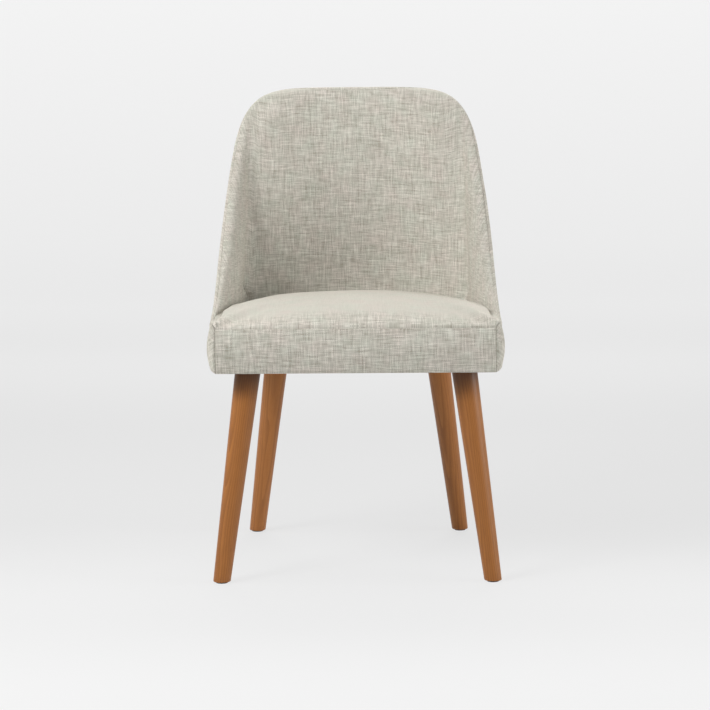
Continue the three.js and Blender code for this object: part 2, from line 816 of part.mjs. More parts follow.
function teeNutRoom(nut, { at, direction }) {
  const profile = teeNutProfile(nut, 0, fit);
  return [turned(profile, at, direction), ...prongs(nut, at, direction, fit)];
}

// The nut in the plywood for a bolt of the back
function backNutPlace({ at, direction }) {
  const depth = railInner - plyOuter - nutInset - backNut.flangeThickness;
  return { at: at.clone().addScaledVector(direction, depth), direction: direction.clone().negate() };
}

// Corner blocks, the leg's nut in each and its hanger bolt
function frontBlockOutline(side) {
  const x = sideRailInner - fit;
  const y = frontRailInner + fit;
  return [
    [x, y],
    [x, y + blockReach],
    [x - blockEar, y + blockReach],
    [x - blockReach, y + blockEar],
    [x - blockReach, y],
  ].map(([u, v]) => [side * u, v]);
}

function rearBlockOutline(side) {
  const along = stations(rearBlockEndShare).filter((q) => q >= rearBlockStartShare);
  const edge = along.map((q) => scoopPoint(side * q, blockOuter, frameBottom));
  const ear = (q) => scoopPoint(side * q, blockOuter + blockEar, frameBottom);
  return flat([...edge, ear(rearBlockEndShare), ear(along[0])]);
}

const legNutPlace = (top) => ({ at: new THREE.Vector3(top.x, top.y, blockTop + fit), direction: down });

function cornerBlock(outline, top, places) {
  const bolt = new THREE.Vector3(top.x, top.y, frameBottom);
  const cutters = [
    ...teeNutRoom(legNut, legNutPlace(top)),
    drill(hangerBoltDiameter + 2 * fit, bolt, up, -overrun, blockThickness + overrun),
    ...places.flatMap(screwRoom),
  ];
  return cut(prism(outline, frameBottom, blockTop), cutters);
}

function hangerBolt(top) {
  const r = hangerBoltDiameter / 2;
  const end = blockTop + fit + legNut.flangeThickness + hangerBoltAbove - legTop;
  const profile = [
    [0, -hangerBoltInLeg],
    [r, boltPoint - hangerBoltInLeg],
    [r, end - boltEase],
    [r - boltEase, end],
    [0, end],
  ];
  return turned(profile, new THREE.Vector3(top.x, top.y, legTop), up);
}

// A round tapered leg, leaning from its top to its foot, both cut level.
function leg(top, foot) {
  const topPoint = new THREE.Vector3(top.x, top.y, legTop);
  const footPoint = new THREE.Vector3(foot.x, foot.y, legFoot);
  const lean = new THREE.Vector3(topPoint.x - footPoint.x, topPoint.y - footPoint.y, 0);
  const stretch = topPoint.distanceTo(footPoint) / (legTop - legFoot);
  const along = lean.clone().normalize();
  const across = new THREE.Vector3(-along.y, along.x, 0);
  const ring = (z, ease) => {
    const share = (z - legFoot) / (legTop - legFoot);
    const r = mix(legFootDiameter, legTopDiameter, share) / 2 - ease;
    return Array.from({ length: roundSides }, (_, i) => {
      const angle = (i / roundSides) * 2 * Math.PI;
      const middle = footPoint.clone().lerp(topPoint, share);
      middle.addScaledVector(along, r * stretch * Math.cos(angle));
      return middle.addScaledVector(across, r * Math.sin(angle));
    });
  };
  const rings = [ring(legFoot, footEase), ring(legFoot + footEase, 0), ring(legTop, 0)];
  const boltHole = drill(hangerBoltDiameter + 2 * fit, topPoint, down, -overrun, hangerBoltInLeg + fit);
  const nailHole = drill(glideNailDiameter + 2 * fit, footPoint, up, -overrun, glideNailLength + fit);
  return cut(loft(rings, flat(rings[0]), flat(rings.at(-1))), [boltHole, nailHole]);
}

// A nylon disc with its nail
function footGlide(foot) {
  const r = glideDiameter / 2;
  const nail = glideNailDiameter / 2;
  const profile = [
    [0, 0],
    [r - glideEase, 0],
    [r, glideEase],
    [r, glideThickness - glideEase],
    [r - glideEase, glideThickness],
    [nail, glideThickness],
    [nail, glideThickness + glideNailLength - glideNailPoint],
    [0, glideThickness + glideNailLength],
  ];
  return turned(profile, new THREE.Vector3(foot.x, foot.y, 0), up, roundSides);
}

// Webbing: each strap runs over one crossing and under the next.
function bowInnerY(x) {
  let low = 0;
  let high = 1;
  for (let i = 0; i < searchSteps; i++) {
    const middle = (low + high) / 2;
    if (scoopPoint(middle, railInner, railTop).x < Math.abs(x)) low = middle;
    else high = middle;
  }
  return scoopPoint(low, railInner, railTop).y;
}

// Distances along a strap and its heights there, from crossing to crossing
function strapWave(crossings, firstOver) {
  const reach = strapWidth / 2 + crossingEase;
  return crossings.flatMap((middle, i) => {
    const rise = (i % 2 === 0) === firstOver ? weaveRise : -weaveRise;
    return [
      [middle - reach, strapMiddle + rise],
      [middle + reach, strapMiddle + rise],
    ];
  });
}

function strap(edges) {
  const half = strapThickness / 2;
  const rings = edges.map(([a, b]) => [
    a.clone().setZ(a.z - half),
    b.clone().setZ(b.z - half),
    b.clone().setZ(b.z + half),
    a.clone().setZ(a.z + half),
  ]);
  const section = [
    [0, -half],
    [strapWidth, -half],
    [strapWidth, half],
    [0, half],
  ];
  return loft(rings, section, section);
}

function lengthwaysStrap(x, firstOver) {
  const edgeXs = [x - strapWidth / 2, x + strapWidth / 2];
  const across = (y, z) => edgeXs.map((edgeX) => new THREE.Vector3(edgeX, y, z));
  const rearAt = (edgeX, grip) => new THREE.Vector3(edgeX, bowInnerY(edgeX) + grip, strapMiddle);
  const rear = (grip) => edgeXs.map((edgeX) => rearAt(edgeX, grip));
  return strap([
    across(frontRailInner - strapGrip, strapMiddle),
    across(frontRailInner, strapMiddle),
    ...strapWave(crosswaysStraps, firstOver).map(([y, z]) => across(y, z)),
    rear(0),
    rear(strapGrip),
  ]);
}

function crosswaysStrap(y, firstOver) {
  const edgeYs = [y + strapWidth / 2, y - strapWidth / 2];
  const across = (x, z) => edgeYs.map((edgeY) => new THREE.Vector3(x, edgeY, z));
  return strap([
    across(-sideRailInner - strapGrip, strapMiddle),
    across(-sideRailInner, strapMiddle),
    ...strapWave(lengthwaysStraps, firstOver).map(([x, z]) => across(x, z)),
    across(sideRailInner, strapMiddle),
    across(sideRailInner + strapGrip, strapMiddle),
  ]);
}

// Thin cloth under the frame, inside the turned-under covers
function dustCover(boltTops) {
  const inset = turnUnder + fit;
  const reached = stations(wingEndShare - turnUnderTaperShare / 2);
  const around = reached.map((station) => scoopPoint(station, inset, frameBottom));
  const corner = halfWidth - inset;
  const front = inset - frontFace;
  const outline = [...flat(around), [corner, front], [-corner, front]];
  const holes = boltTops.map((top) => {
    const middle = new THREE.Vector3(top.x, top.y, dustCoverBottom);
    return drill(hangerBoltDiameter + 2 * fit, middle, up, -overrun, overrun);
  });
  return cut(prism(outline, dustCoverBottom, dustCoverTop), holes);
}

// The chair
const boltRoom = ({ at, direction }) => [
  drill(backBoltDiameter + 2 * fit, at, direction, -overrun, railThickness + overrun),
  drill(backBoltHead + 2 * screwHeadRoom, at, direction, -overrun, 0),
];
const roomFor = (names) => names.flatMap((name) => screwRoom(screws[name]).slice(0, 1));
const boltsIn = (places) => places.flatMap((place) => boltRoom(backBolts[place]));

add("outer_cover", scoopLayer(stations(cornerEndShare), outerCoverSection), cloth);
add("front_band", frontBand(), cloth);
add("edge_wadding", scoopLayer(edgeWaddingStations(), edgeWaddingSection), wadding);
const nutRooms = Object.values(backBolts).flatMap((place) => teeNutRoom(backNut, backNutPlace(place)));
const shellHoles = Object.values(backBolts).map(({ at, direction }) =>
  drill(backBoltDiameter + 2 * fit, at, direction, 0, railThickness + plyThickness + overrun),
);
const shell = scoopLayer(stations(wingEndShare), plySection);
add("back_shell", cut(shell, [...nutRooms, ...shellHoles]), plywood);
add("back_pad", scoopLayer(stations(wingEndShare), backPadSection), foam);
add("inner_cover", scoopLayer(stations(cornerEndShare), innerCoverSection), cloth);
add("seat_pad", seatPad(), foam);
add("seat_cover", seatCover(), cloth);

const rearRooms = roomFor(["rear_left_1", "rear_left_2", "rear_right_1", "rear_right_2"]);
const bow = join(rearRail(), [bowTenon(1, 0), bowTenon(-1, 0)]);
add("rear_rail", cut(bow, [...rearRooms, ...boltsIn(["rear_left", "rear_right"])]), beech);
const front = join(frontRail(), [frontTenon(1, 0), frontTenon(-1, 0)]);
add("front_rail", cut(front, roomFor(["front_left_1", "front_right_1"])), beech);
for (const [name, side] of Object.entries(sides)) {
  const mortises = [frontTenon(side, fit), bowTenon(side, fit)];
  const screwHoles = roomFor([`front_${name}_2`, `rear_${name}_2`]);
  const boltHoles = boltsIn([`side_rear_${name}`, `side_front_${name}`]);
  add(`side_rail_${name}`, cut(sideRail(side), [...mortises, ...screwHoles, ...boltHoles]), beech);
}

// A leg's end in plan, by its distances from the outer faces; the end is -1 in front and 1 behind.
function legEnd(side, end, { fromSide, fromEnd }) {
  const face = end < 0 ? frontFace : rearFace;
  return { x: side * (halfWidth - fromSide), y: end * (face - fromEnd) };
}

const corners = {
  front: { way: -1, top: frontLegTop, foot: frontLegFoot, outline: frontBlockOutline },
  rear: { way: 1, top: rearLegTop, foot: rearLegFoot, outline: rearBlockOutline },
};
const boltTops = [];
for (const [end, corner] of Object.entries(corners)) {
  for (const [name, side] of Object.entries(sides)) {
    const top = legEnd(side, corner.way, corner.top);
    const foot = legEnd(side, corner.way, corner.foot);
    const places = [screws[`${end}_${name}_1`], screws[`${end}_${name}_2`]];
    boltTops.push(top);
    add(`leg_${end}_${name}`, leg(top, foot), walnutStain);
    add(`foot_glide_${end}_${name}`, footGlide(foot), nylon);
    add(`hanger_bolt_${end}_${name}`, hangerBolt(top), zincPlate);
    add(`leg_nut_${end}_${name}`, teeNut(legNut, hangerBoltDiameter, legNutPlace(top)), zincPlate);
    add(`corner_block_${end}_${name}`, cornerBlock(corner.outline(side), top, places), beech);
  }
}
add("dust_cover", dustCover(boltTops), undercloth);

lengthwaysStraps.forEach((x, i) => {
  add(`strap_lengthways_${i + 1}`, lengthwaysStrap(x, i % 2 === 0), elastic);
});
crosswaysStraps.forEach((y, i) => {
  add(`strap_crossways_${i + 1}`, crosswaysStrap(y, i % 2 === 1), elastic);
});
for (const [name, place] of Object.entries(screws)) add(`block_screw_${name}`, blockScrew(place), zincPlate);
for (const [name, place] of Object.entries(backBolts)) {
  add(`back_bolt_${name}`, backBolt(place), zincPlate);
  add(`back_nut_${name}`, teeNut(backNut, backBoltDiameter, backNutPlace(place)), zincPlate);
}

// The chair's origin is below the middle of its box.
chair.position.y = -new THREE.Box3().setFromObject(chair).getCenter(new THREE.Vector3()).y;

export default chair;
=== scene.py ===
import json
import math
from functools import partial

import bmesh
import bpy
import numpy as np
from mathutils import Matrix, Vector, noise
from mathutils.bvhtree import BVHTree


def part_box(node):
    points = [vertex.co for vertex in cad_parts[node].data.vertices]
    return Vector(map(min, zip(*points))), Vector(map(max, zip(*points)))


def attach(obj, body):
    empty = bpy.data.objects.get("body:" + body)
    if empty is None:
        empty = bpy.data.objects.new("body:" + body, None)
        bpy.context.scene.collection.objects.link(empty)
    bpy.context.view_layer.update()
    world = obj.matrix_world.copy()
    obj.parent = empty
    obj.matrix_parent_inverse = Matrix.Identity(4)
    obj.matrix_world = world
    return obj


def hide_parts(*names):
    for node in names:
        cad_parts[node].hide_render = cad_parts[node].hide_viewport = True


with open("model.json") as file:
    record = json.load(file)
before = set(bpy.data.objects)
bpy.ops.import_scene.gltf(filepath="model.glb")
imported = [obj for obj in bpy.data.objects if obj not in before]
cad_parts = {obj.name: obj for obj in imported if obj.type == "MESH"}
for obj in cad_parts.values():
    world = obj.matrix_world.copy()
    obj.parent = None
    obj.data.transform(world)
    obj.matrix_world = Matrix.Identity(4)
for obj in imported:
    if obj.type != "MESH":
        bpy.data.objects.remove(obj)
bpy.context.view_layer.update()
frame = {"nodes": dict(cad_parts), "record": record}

bl_info = {
    "name": "Upholstered Dining Chair",
    "version": (1, 0, 0),
    "blender": (4, 5, 0),
    "location": "3D Viewport > Sidebar > Chair",
    "description": "Covers, cushions, legs and finishes for the frame of an upholstered dining chair",
    "category": "Add Mesh",
}

# Layers of the scoop, counted inwards from its outer face, in metres as everywhere here
CLOTH = 0.0015
GAP = 0.0003
PLY_OUTER = CLOTH + GAP
PLY_INNER = PLY_OUTER + 0.007
RAIL_OUTER = PLY_INNER + GAP

# The scoop's plan
BODY_DEPTH = 0.481  # front band to the outer back, beside the frame
HALF_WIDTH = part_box("side_rail_left")[1].x + RAIL_OUTER
PLAN_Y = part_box("front_rail")[0].y + BODY_DEPTH / 2 - PLY_OUTER
FRONT_Y = PLAN_Y - BODY_DEPTH / 2
BACK_LEAN = 0.069
BACK_LEAN_POWER = 1.25
CORNER_DEPTH = 0.175  # of the rounded back, beside the frame
CORNER_DEPTH_TOP = 0.075
BACK_FLAT_SHARE = 0.62
SIDE_FLAT_SHARE = 0.5
NARROWING_START = 0.44
TOP_NARROWING = 0.0436
FRONT_CORNER_WIDTH = 0.010
FRONT_CORNER_DEPTH = 0.013

# Stations round the plan: the shoulder, the wing's front end and the seam with the front band
SHOULDER = 1
WING_END = 2
CORNER_END = 3
BACK_STEPS = 84  # half the back; fine enough for the folds
WING_STEPS = 60
CORNER_STEPS = 16

# The scoop's rim and its padded thickness
OVERALL_HEIGHT = 0.825
SHOULDER_DROP = 0.076
SHOULDER_POWER = 4
WING_FRONT = 0.446
WING_SWEEP_SHARE = 0.3
CORNER_DROP = 0.010
CREST_SHARE = 0.38  # of the thickness, from the outer face to the rim's highest line
RIM_ROLL_SHARE = 0.45
STEEPEST_RIM = 2.3
INNER_ROLL = 0.030  # how far the inner side falls from the rim's crest before it is straight
INNER_ROLL_DEPTH = 0.06  # the same, measured level, where the rim is steep
ROLL_SHRINK = 0.4  # stations past the wing's end over which that long roll is lost
BACK_THICKNESS = 0.048
SHOULDER_THICKNESS = 0.044
CORNER_PADDING = 0.012  # more where the back turns into the wings
CORNER_PADDING_TOP = 0.022
WING_THICKNESS = 0.0124
CORNER_THICKNESS = 0.0036
TOP_THINNING_SHARE = 0.32

# Heights of the seat
COVER_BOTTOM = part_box("outer_cover")[0].z
FRAME_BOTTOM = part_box("front_rail")[0].z
PAD_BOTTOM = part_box("seat_pad")[0].z
HEM_DEPTH = 0.020
WING_HEM_DEPTH = 0.015
CORNER_HEM_DEPTH = 0.007
HEM_TAPER_START = 1.6
SEAT_LINE = 0.452  # below which the inside cover stands straight beside the cushion
SEAT_EDGE_SIDE = 0.4577
SEAT_EDGE_SHOULDER = 0.4466
SEAT_EDGE_REAR = 0.4431
SEAT_TOP = 0.475
SEAT_FALL = 0.0119  # of the top, towards the back
SEAT_FALL_POWER = 1.24
SEAT_ARCH = 0.62  # how much of its crown the cushion loses towards its sides
SEAT_FULLNESS = 2.4
SEAT_SOFTENING = 0.15  # how soon the edge's rises and falls are lost further in
CROWN_RINGS = 40
CROWN_RING_POWER = 1.8  # the rings lie closer together towards the edge
CROWN_REACH_SHARE = 0.97  # how far in the innermost ring lies, of the way to the middle
OVAL_SHARE = 0.5  # how far in the rings have turned oval
HELD_SHARE = 0.125  # how far in the cloth of the edge is held back when the seat swells
SEAT_RISE_START = 0.9  # the stations between which the edge rises beside the wings
SEAT_RISE_END = 1.5
SEAT_CORNER_RADIUS = 0.002
SEAT_EASE = 0.0007
ROLL_REACH = 0.012  # how far back from the front the nap is neither flattened nor painted lighter, which leaves the front roll darker
FLAT_NAP_AND_LIGHT_REACH = 0.06  # and from where on the nap lies flat and the cloth is painted lighter: flattened nap where it is sat on, and painted light on the seat's top
BAND_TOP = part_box("front_band")[1].z
FRONT_EDGE = BAND_TOP + GAP

# Front corners of the cushion, which swell out over the wings' front ends
EAR_START = 1.88  # the station behind which there is none
EAR_INSET = 0.0030  # from the outer face
EAR_CLEARANCE = 0.0002
EAR_DROP = 0.001  # how much lower the outer edge over a wing's end lies, since the rim rolls away
EASE_HEIGHT = 0.0045  # over which the inside cover widens beside the cushion

# Simulation of the cushion's cloth
CLOTH_PRESSURE = 4
CLOTH_QUALITY = 6
CLOTH_FRAMES = 20

# Swelling of the padded sides and front, and where the cover turns under the frame
SIDE_PADDING = 0.005
SWELL_FULLNESS = 0.9
SWELL_START_SHARE = 0.6
SWELL_BELOW = 0.001
TURN_UNDER = 0.022
HEM_THICKNESS_SHARE = 0.25  # how far up the turned edge is bevelled, of the hem's height
PANEL_LAP = 0.004  # how far below the panel's top seam its back starts
LINING_END = 1.7  # the station where the lining's side meets its front edge
LINING_MIDDLE = 0.04  # size of its innermost ring, of the outer one
LINING_RIPPLE = 0.001
LINING_WAVES = 0.05

# The seam along the rim, in degrees round the rolled edge from its outer side
SEAM_ANGLE_BACK = 122
SEAM_ANGLE_SHOULDER = 50
SEAM_ANGLE_WING = 86
SEAM_GAP = 0.3  # between the seam and each cloth
INSIDE_ROLL_PAST_CREST = 20
COVERED_SEAM_LOSS = 0.85  # how much shallower the seam is under the cushion's front corners
CORNER_SEAM_SHARE = 0.6  # depth of the upright seams at the front corners, of the other seams
PANEL_SEAM_SHARE = 1 / 3  # depth of the seam over the front panel, of the other seams

# Powers that set rows of points closer together: at the seam and over the padded sides, and inside at the rim
ROW_CROWDING = 1.5
LEVEL_CROWDING = 1.3

# Rough distance from one soft wave of a cover to the next
OUTSIDE_WAVES = 0.07
INSIDE_WAVES = 0.09
SEAT_WAVES = 0.1
PANEL_WAVES = 0.06

# A number for each piece of cloth, so that none has the yarns of another
OUTSIDE_CLOTH = 11.0
INSIDE_CLOTH = 37.0
SEAT_CLOTH = 71.0
PANEL_CLOTH = 97.0
PANEL_THREADS_START = 0.4  # of the panel's own stretch of cloth

# How far up the rim's cloth faces where painted light begins on it, and where it is full: its yarns are drawn
# evener and paler there
PAINTED_LIGHT_RIM = (0.75, 0.97)

# A fold in the inside cover above the seat, from its upper end to its lower end, as station and height
FOLD_TOP = (1.10, 0.487)
FOLD_BOTTOM = (0.78, 0.449)
FOLD_WIDTH = 0.0056
FOLD_DEPTH = 0.016
FOLD_OVERLAP = 0.35  # how far the cloth on the wing's side stands over the fold, of its depth
FOLD_FADE = 0.625  # the share of its length over which the fold deepens from its upper end
WING_THREADS = (0.5, 0.9)  # the stations between which the threads turn level with the wing
STATION_LENGTH = 0.22  # of cloth, from the middle of the back to the shoulder

# Legs
LEG_TOP_DIAMETER = 0.0437
LEG_FOOT_DIAMETER = 0.0295
FOOT_EASE = 0.0016
PLANK_START = Vector((0.045, 0.03, 0))  # where the first leg lies in the plank, from its pith
PLANK_STEP = Vector((0.013, -0.017, 0.7))  # and from each leg to the next

# Edges of the meshes sharper than this, in degrees, aren't smoothed.
SHARP_ANGLE = 40

# Camera, found from the four feet, the rim and the seams in the photograph
CAMERA_PLACE = (0.0289, -4.4886, 0.9051)
CAMERA_YAW = 0.409
CAMERA_PITCH = 6.957
CAMERA_ROLL = -0.416
CAMERA_LENS = 129.5  # millimetres, on a 36 mm sensor

# Studio paper, in metres, with greys by how far back they lie that paint the studio's light and shade:
# painted shade darkest in a band behind the chair, painted lighter to the front and the back
FLOOR_RADIUS = 8.0
WALL_CURVE = 1.5
WALL_HEIGHT = 7.0
WALL_SIDES = 96
WALL_RISE = 1.1
WALL_GREY = "#FCFCFC"
FLOOR_PAINTED_LIGHT_GREYS = (
    (-1.0, "#F2F2F2"),
    (-0.45, "#EDEDED"),
    (0.4, "#E3E3E3"),
    (1.4, "#E2E2E2"),
    (3.0, "#ECECEC"),
    (4.5, "#F2F2F2"),
    (8.0, "#F5F5F5"),
)
PAPER_SHOWN_SHARE = 0.9
STAGE_AIM = (0.0, 0.0, 0.45)  # what the lamps point at


def linear(hex_color):
    """An sRGB hex colour as linear red, green and blue."""
    parts = [int(hex_color[i : i + 2], 16) / 255 for i in (1, 3, 5)]
    return tuple(c / 12.92 if c <= 0.04045 else ((c + 0.055) / 1.055) ** 2.4 for c in parts)


# Settings


class ChairCloth(bpy.types.PropertyGroup):
    """Sizes and colours of the cover cloth and its seams."""

    dark_yarn: bpy.props.FloatVectorProperty(
        name="Dark yarn",
        description="Grey-beige yarn of the cloth",
        default=linear("#A5A196"),
        subtype="COLOR",
    )
    pale_yarn: bpy.props.FloatVectorProperty(
        name="Pale yarn", description="Cream yarn of the cloth", default=linear("#DFDCD4"), subtype="COLOR"
    )
    yarn_spacing: bpy.props.FloatProperty(
        name="Yarn spacing",
        description="Middle of a yarn to the middle of the next",
        default=0.0015,
        unit="LENGTH",
    )
    slub_length: bpy.props.FloatProperty(
        name="Slub length",
        description="Length over which a yarn keeps its thickness and shade",
        default=0.028,
        unit="LENGTH",
    )
    yarn_height: bpy.props.FloatProperty(
        name="Yarn height",
        description="How far the yarns stand out where they cross",
        default=0.00022,
        unit="LENGTH",
    )
    seam_width: bpy.props.FloatProperty(
        name="Seam width",
        description="Cloth that turns down into a seam, on each side of it",
        default=0.0026,
        unit="LENGTH",
    )
    seam_depth: bpy.props.FloatProperty(
        name="Seam depth", description="How deep the cloth dips into a seam", default=0.002, unit="LENGTH"
    )
    unevenness: bpy.props.FloatProperty(
        name="Unevenness",
        description="Height of the soft waves in the padded surfaces",
        default=0.0009,
        unit="LENGTH",
    )


class ChairWood(bpy.types.PropertyGroup):
    """Colours and grain of the legs."""

    pale_grain: bpy.props.FloatVectorProperty(
        name="Pale grain", description="Stained early wood", default=linear("#A56A32"), subtype="COLOR"
    )
    dark_grain: bpy.props.FloatVectorProperty(
        name="Dark grain", description="Stained late wood", default=linear("#7E4C22"), subtype="COLOR"
    )
    ring_spacing: bpy.props.FloatProperty(
        name="Ring spacing", description="Width of a year's growth", default=0.0032, unit="LENGTH"
    )


class ChairStage(bpy.types.PropertyGroup):
    """Light and floor."""

    floor_color: bpy.props.FloatVectorProperty(
        name="Floor", description="Pale studio floor", default=linear("#EDEDED"), subtype="COLOR"
    )
    front_power: bpy.props.FloatProperty(
        name="Front light", description="Main light, in front, high on the left", default=65, unit="POWER"
    )
    top_power: bpy.props.FloatProperty(
        name="Top light", description="Soft light above the seat", default=6, unit="POWER"
    )
    back_power: bpy.props.FloatProperty(
        name="Back light", description="Light from behind, which brightens the seat", default=61, unit="POWER"
    )
    left_power: bpy.props.FloatProperty(
        name="Left light", description="Soft light high on the left", default=29, unit="POWER"
    )
    right_power: bpy.props.FloatProperty(
        name="Right light", description="Soft light low on the right", default=56, unit="POWER"
    )
    ambient: bpy.props.FloatProperty(
        name="Ambient light", description="Strength of the even light from all round", default=0.1
    )


# Shape of the scoop


def clamp01(value):
    return min(1.0, max(0.0, value))


def smooth(value):
    return value * value * (3 - 2 * value)


def mix(first, last, share):
    return first + (last - first) * share


def share_between(value, start, end):
    return clamp01((value - start) / (end - start))


def ramp(value, start, end):
    """Rises smoothly from 0 at the start to 1 at the end."""
    return smooth(share_between(value, start, end))


def spread(first, last, steps):
    return [mix(first, last, i / steps) for i in range(steps + 1)]


def plan_point(q, z):
    """A point of the outer face at a station and a height."""
    rise = share_between(z, PAD_BOTTOM, OVERALL_HEIGHT)
    narrowing = share_between(z, NARROWING_START, OVERALL_HEIGHT)
    width = HALF_WIDTH - TOP_NARROWING * narrowing**2
    rear = BODY_DEPTH / 2 + BACK_LEAN * rise**BACK_LEAN_POWER
    shoulder = rear - mix(CORNER_DEPTH, CORNER_DEPTH_TOP, rise)
    wing_front = FRONT_CORNER_DEPTH - BODY_DEPTH / 2
    if q <= SHOULDER:
        p = 1 - q
        x = width * (3 * p * p * q * BACK_FLAT_SHARE + 3 * p * q * q + q**3)
        y = mix(shoulder, rear, p**3 + 3 * p * p * q + 3 * p * q * q * SIDE_FLAT_SHARE)
        return x, y
    if q <= WING_END:
        return width, mix(shoulder, wing_front, q - SHOULDER)
    turn = (q - WING_END) * math.pi / 2
    x = width - FRONT_CORNER_WIDTH * (1 - math.cos(turn))
    return x, wing_front - FRONT_CORNER_DEPTH * math.sin(turn)


def plan_tangent(q, z):
    step = 0.002
    low, high = max(0.0, q - step), min(CORNER_END, q + step)
    x0, y0 = plan_point(low, z)
    x1, y1 = plan_point(high, z)
    return (x1 - x0) / (high - low), (y1 - y0) / (high - low)


def scoop_point(station, inset, z):
    """A point inset from the outer face, measured level and square to the plan."""
    q = abs(station)
    x, y = plan_point(q, z)
    along_x, along_y = (1.0, 0.0) if q == 0 else plan_tangent(q, z)
    length = math.hypot(along_x, along_y)
    x += along_y / length * inset
    y -= along_x / length * inset
    return Vector((math.copysign(x, station), y + PLAN_Y, z))


def thickness_at(station, z):
    q = abs(station)
    if q > WING_END:
        return mix(WING_THICKNESS, CORNER_THICKNESS, q - WING_END)
    rise = share_between(z, SEAT_LINE, OVERALL_HEIGHT)
    if q < SHOULDER:
        full = mix(BACK_THICKNESS, SHOULDER_THICKNESS, smooth(q))
        full += mix(CORNER_PADDING, CORNER_PADDING_TOP, rise) * math.sin(math.pi * q) ** 2
    else:
        full = mix(SHOULDER_THICKNESS, WING_THICKNESS, smooth(q - SHOULDER))
    return full * (1 - TOP_THINNING_SHARE * rise)


def rolled_inset(station, z):
    """How far the inner side of the rolled rim lies from the outer face at a height."""
    roll = RimRoll(station)
    if z <= roll.inner_start:
        return thickness_at(station, z)
    share = share_between(z, roll.inner_start, roll.rim)
    return mix(roll.crest, thickness_at(station, z), math.sqrt(1 - share * share))


def seat_inset(station):
    """How far the cushion's side lies from the outer face."""
    q = abs(station)
    inset = rolled_inset(station, SEAT_LINE)
    if q < SHOULDER:
        return inset
    return max(inset, mix(SHOULDER_THICKNESS, WING_THICKNESS, q - SHOULDER))


def inner_inset(station, z):
    """How far the cover's inner side lies from the outer face, above the seat and beside the cushion."""
    if abs(station) > WING_END:
        return min(thickness_at(station, z), rolled_inset(station, z))
    beside = ramp(SEAT_LINE - z, 0, EASE_HEIGHT)
    return mix(rolled_inset(station, max(z, SEAT_LINE)), seat_inset(station), beside)


def rim_at(q):
    shoulder = OVERALL_HEIGHT - SHOULDER_DROP
    if q <= SHOULDER:
        return OVERALL_HEIGHT - SHOULDER_DROP * q**SHOULDER_POWER
    if q > WING_END:
        return WING_FRONT - CORNER_DROP * (q - WING_END) ** 2
    end = math.exp(-1 / WING_SWEEP_SHARE)
    share = (math.exp((SHOULDER - q) / WING_SWEEP_SHARE) - end) / (1 - end)
    return mix(WING_FRONT, shoulder, share)


class RimRoll:
    """The rounded edge at a station: a short quarter outside its crest and a long one inside."""

    def __init__(self, station):
        q = abs(station)
        step = 0.01
        self.rim = rim_at(q)
        fall = (rim_at(min(CORNER_END, q + step)) - rim_at(max(0.0, q - step))) / (2 * step)
        slope = min(math.sqrt(STEEPEST_RIM**2 - 1), abs(fall) / math.hypot(*plan_tangent(q, self.rim)))
        self.steepness = math.hypot(1, slope)
        self.thickness = thickness_at(q, self.rim)
        self.crest = CREST_SHARE * self.thickness
        self.height = RIM_ROLL_SHARE * self.thickness * self.steepness
        self.start = self.rim - self.height
        # The long inner quarter shrinks to the short one round the front corner.
        shrink = ramp(WING_END + ROLL_SHRINK - q, 0, ROLL_SHRINK)
        self.inner_height = max(self.height, (INNER_ROLL + INNER_ROLL_DEPTH * slope) * shrink)
        self.inner_start = self.rim - self.inner_height

    def point(self, degrees, inset):
        angle = math.radians(degrees)
        if degrees <= 90:
            across = self.crest - (self.crest - inset) * math.cos(angle)
            return across, self.start + (self.height - inset * self.steepness) * math.sin(angle)
        across = self.crest - (self.thickness - self.crest - inset) * math.cos(angle)
        return across, self.inner_start + (self.inner_height - inset * self.steepness) * math.sin(angle)

    def distance(self, degrees, seam):
        """Length of cloth between a point of the rounded edge and the seam, square to the seam."""
        across, z = self.point(degrees, 0)
        seam_across, seam_z = self.point(seam, 0)
        return math.hypot(across - seam_across, (z - seam_z) / self.steepness)


def seam_angle(station):
    q = abs(station)
    if q < SHOULDER:
        return mix(SEAM_ANGLE_BACK, SEAM_ANGLE_SHOULDER, smooth(q))
    return mix(SEAM_ANGLE_SHOULDER, SEAM_ANGLE_WING, ramp(q, SHOULDER, WING_END))


def ear_share(q):
    """How far the cushion's front corner has swelled out over the wing at a station."""
    return ramp(q, EAR_START, WING_END)


def rim_seam_depth(station, depth):
    """The seam on the rim is shallower at the wings' front ends, under the cushion's corners."""
    return depth * (1 - COVERED_SEAM_LOSS * ear_share(abs(station)))


def swell(station, z):
    """How far the padding pushes the covers out, beside and in front of the seat frame."""
    bottom = FRAME_BOTTOM - SWELL_BELOW
    share = share_between(z, bottom, BAND_TOP)
    beside = ramp(abs(station), SWELL_START_SHARE, SHOULDER)
    return SIDE_PADDING * math.sin(math.pi * share) ** SWELL_FULLNESS * beside


def hem_depth(station):
    """How far inwards the rounded lower edge reaches."""
    q = abs(station)
    if q > WING_END:
        return mix(WING_HEM_DEPTH, CORNER_HEM_DEPTH, q - WING_END)
    return mix(HEM_DEPTH, WING_HEM_DEPTH, ramp(q, HEM_TAPER_START, WING_END))


def rounded_hem(side, under, depth, swelled):
    """The lower edge in section, as insets and heights: turned under, then rounded up to the swelled side."""
    points = [(side, FRAME_BOTTOM - GAP), (under, FRAME_BOTTOM - GAP)]
    points.append((under, mix(COVER_BOTTOM, FRAME_BOTTOM, HEM_THICKNESS_SHARE)))
    points.append((under - CLOTH / 2, COVER_BOTTOM))
    for degrees in spread(0, 90, 8)[:-1]:
        angle = math.radians(degrees)
        inset = (depth + swelled) * (1 - math.sin(angle)) - swelled
        points.append((inset, mix(COVER_BOTTOM, FRAME_BOTTOM, 1 - math.cos(angle))))
    return points


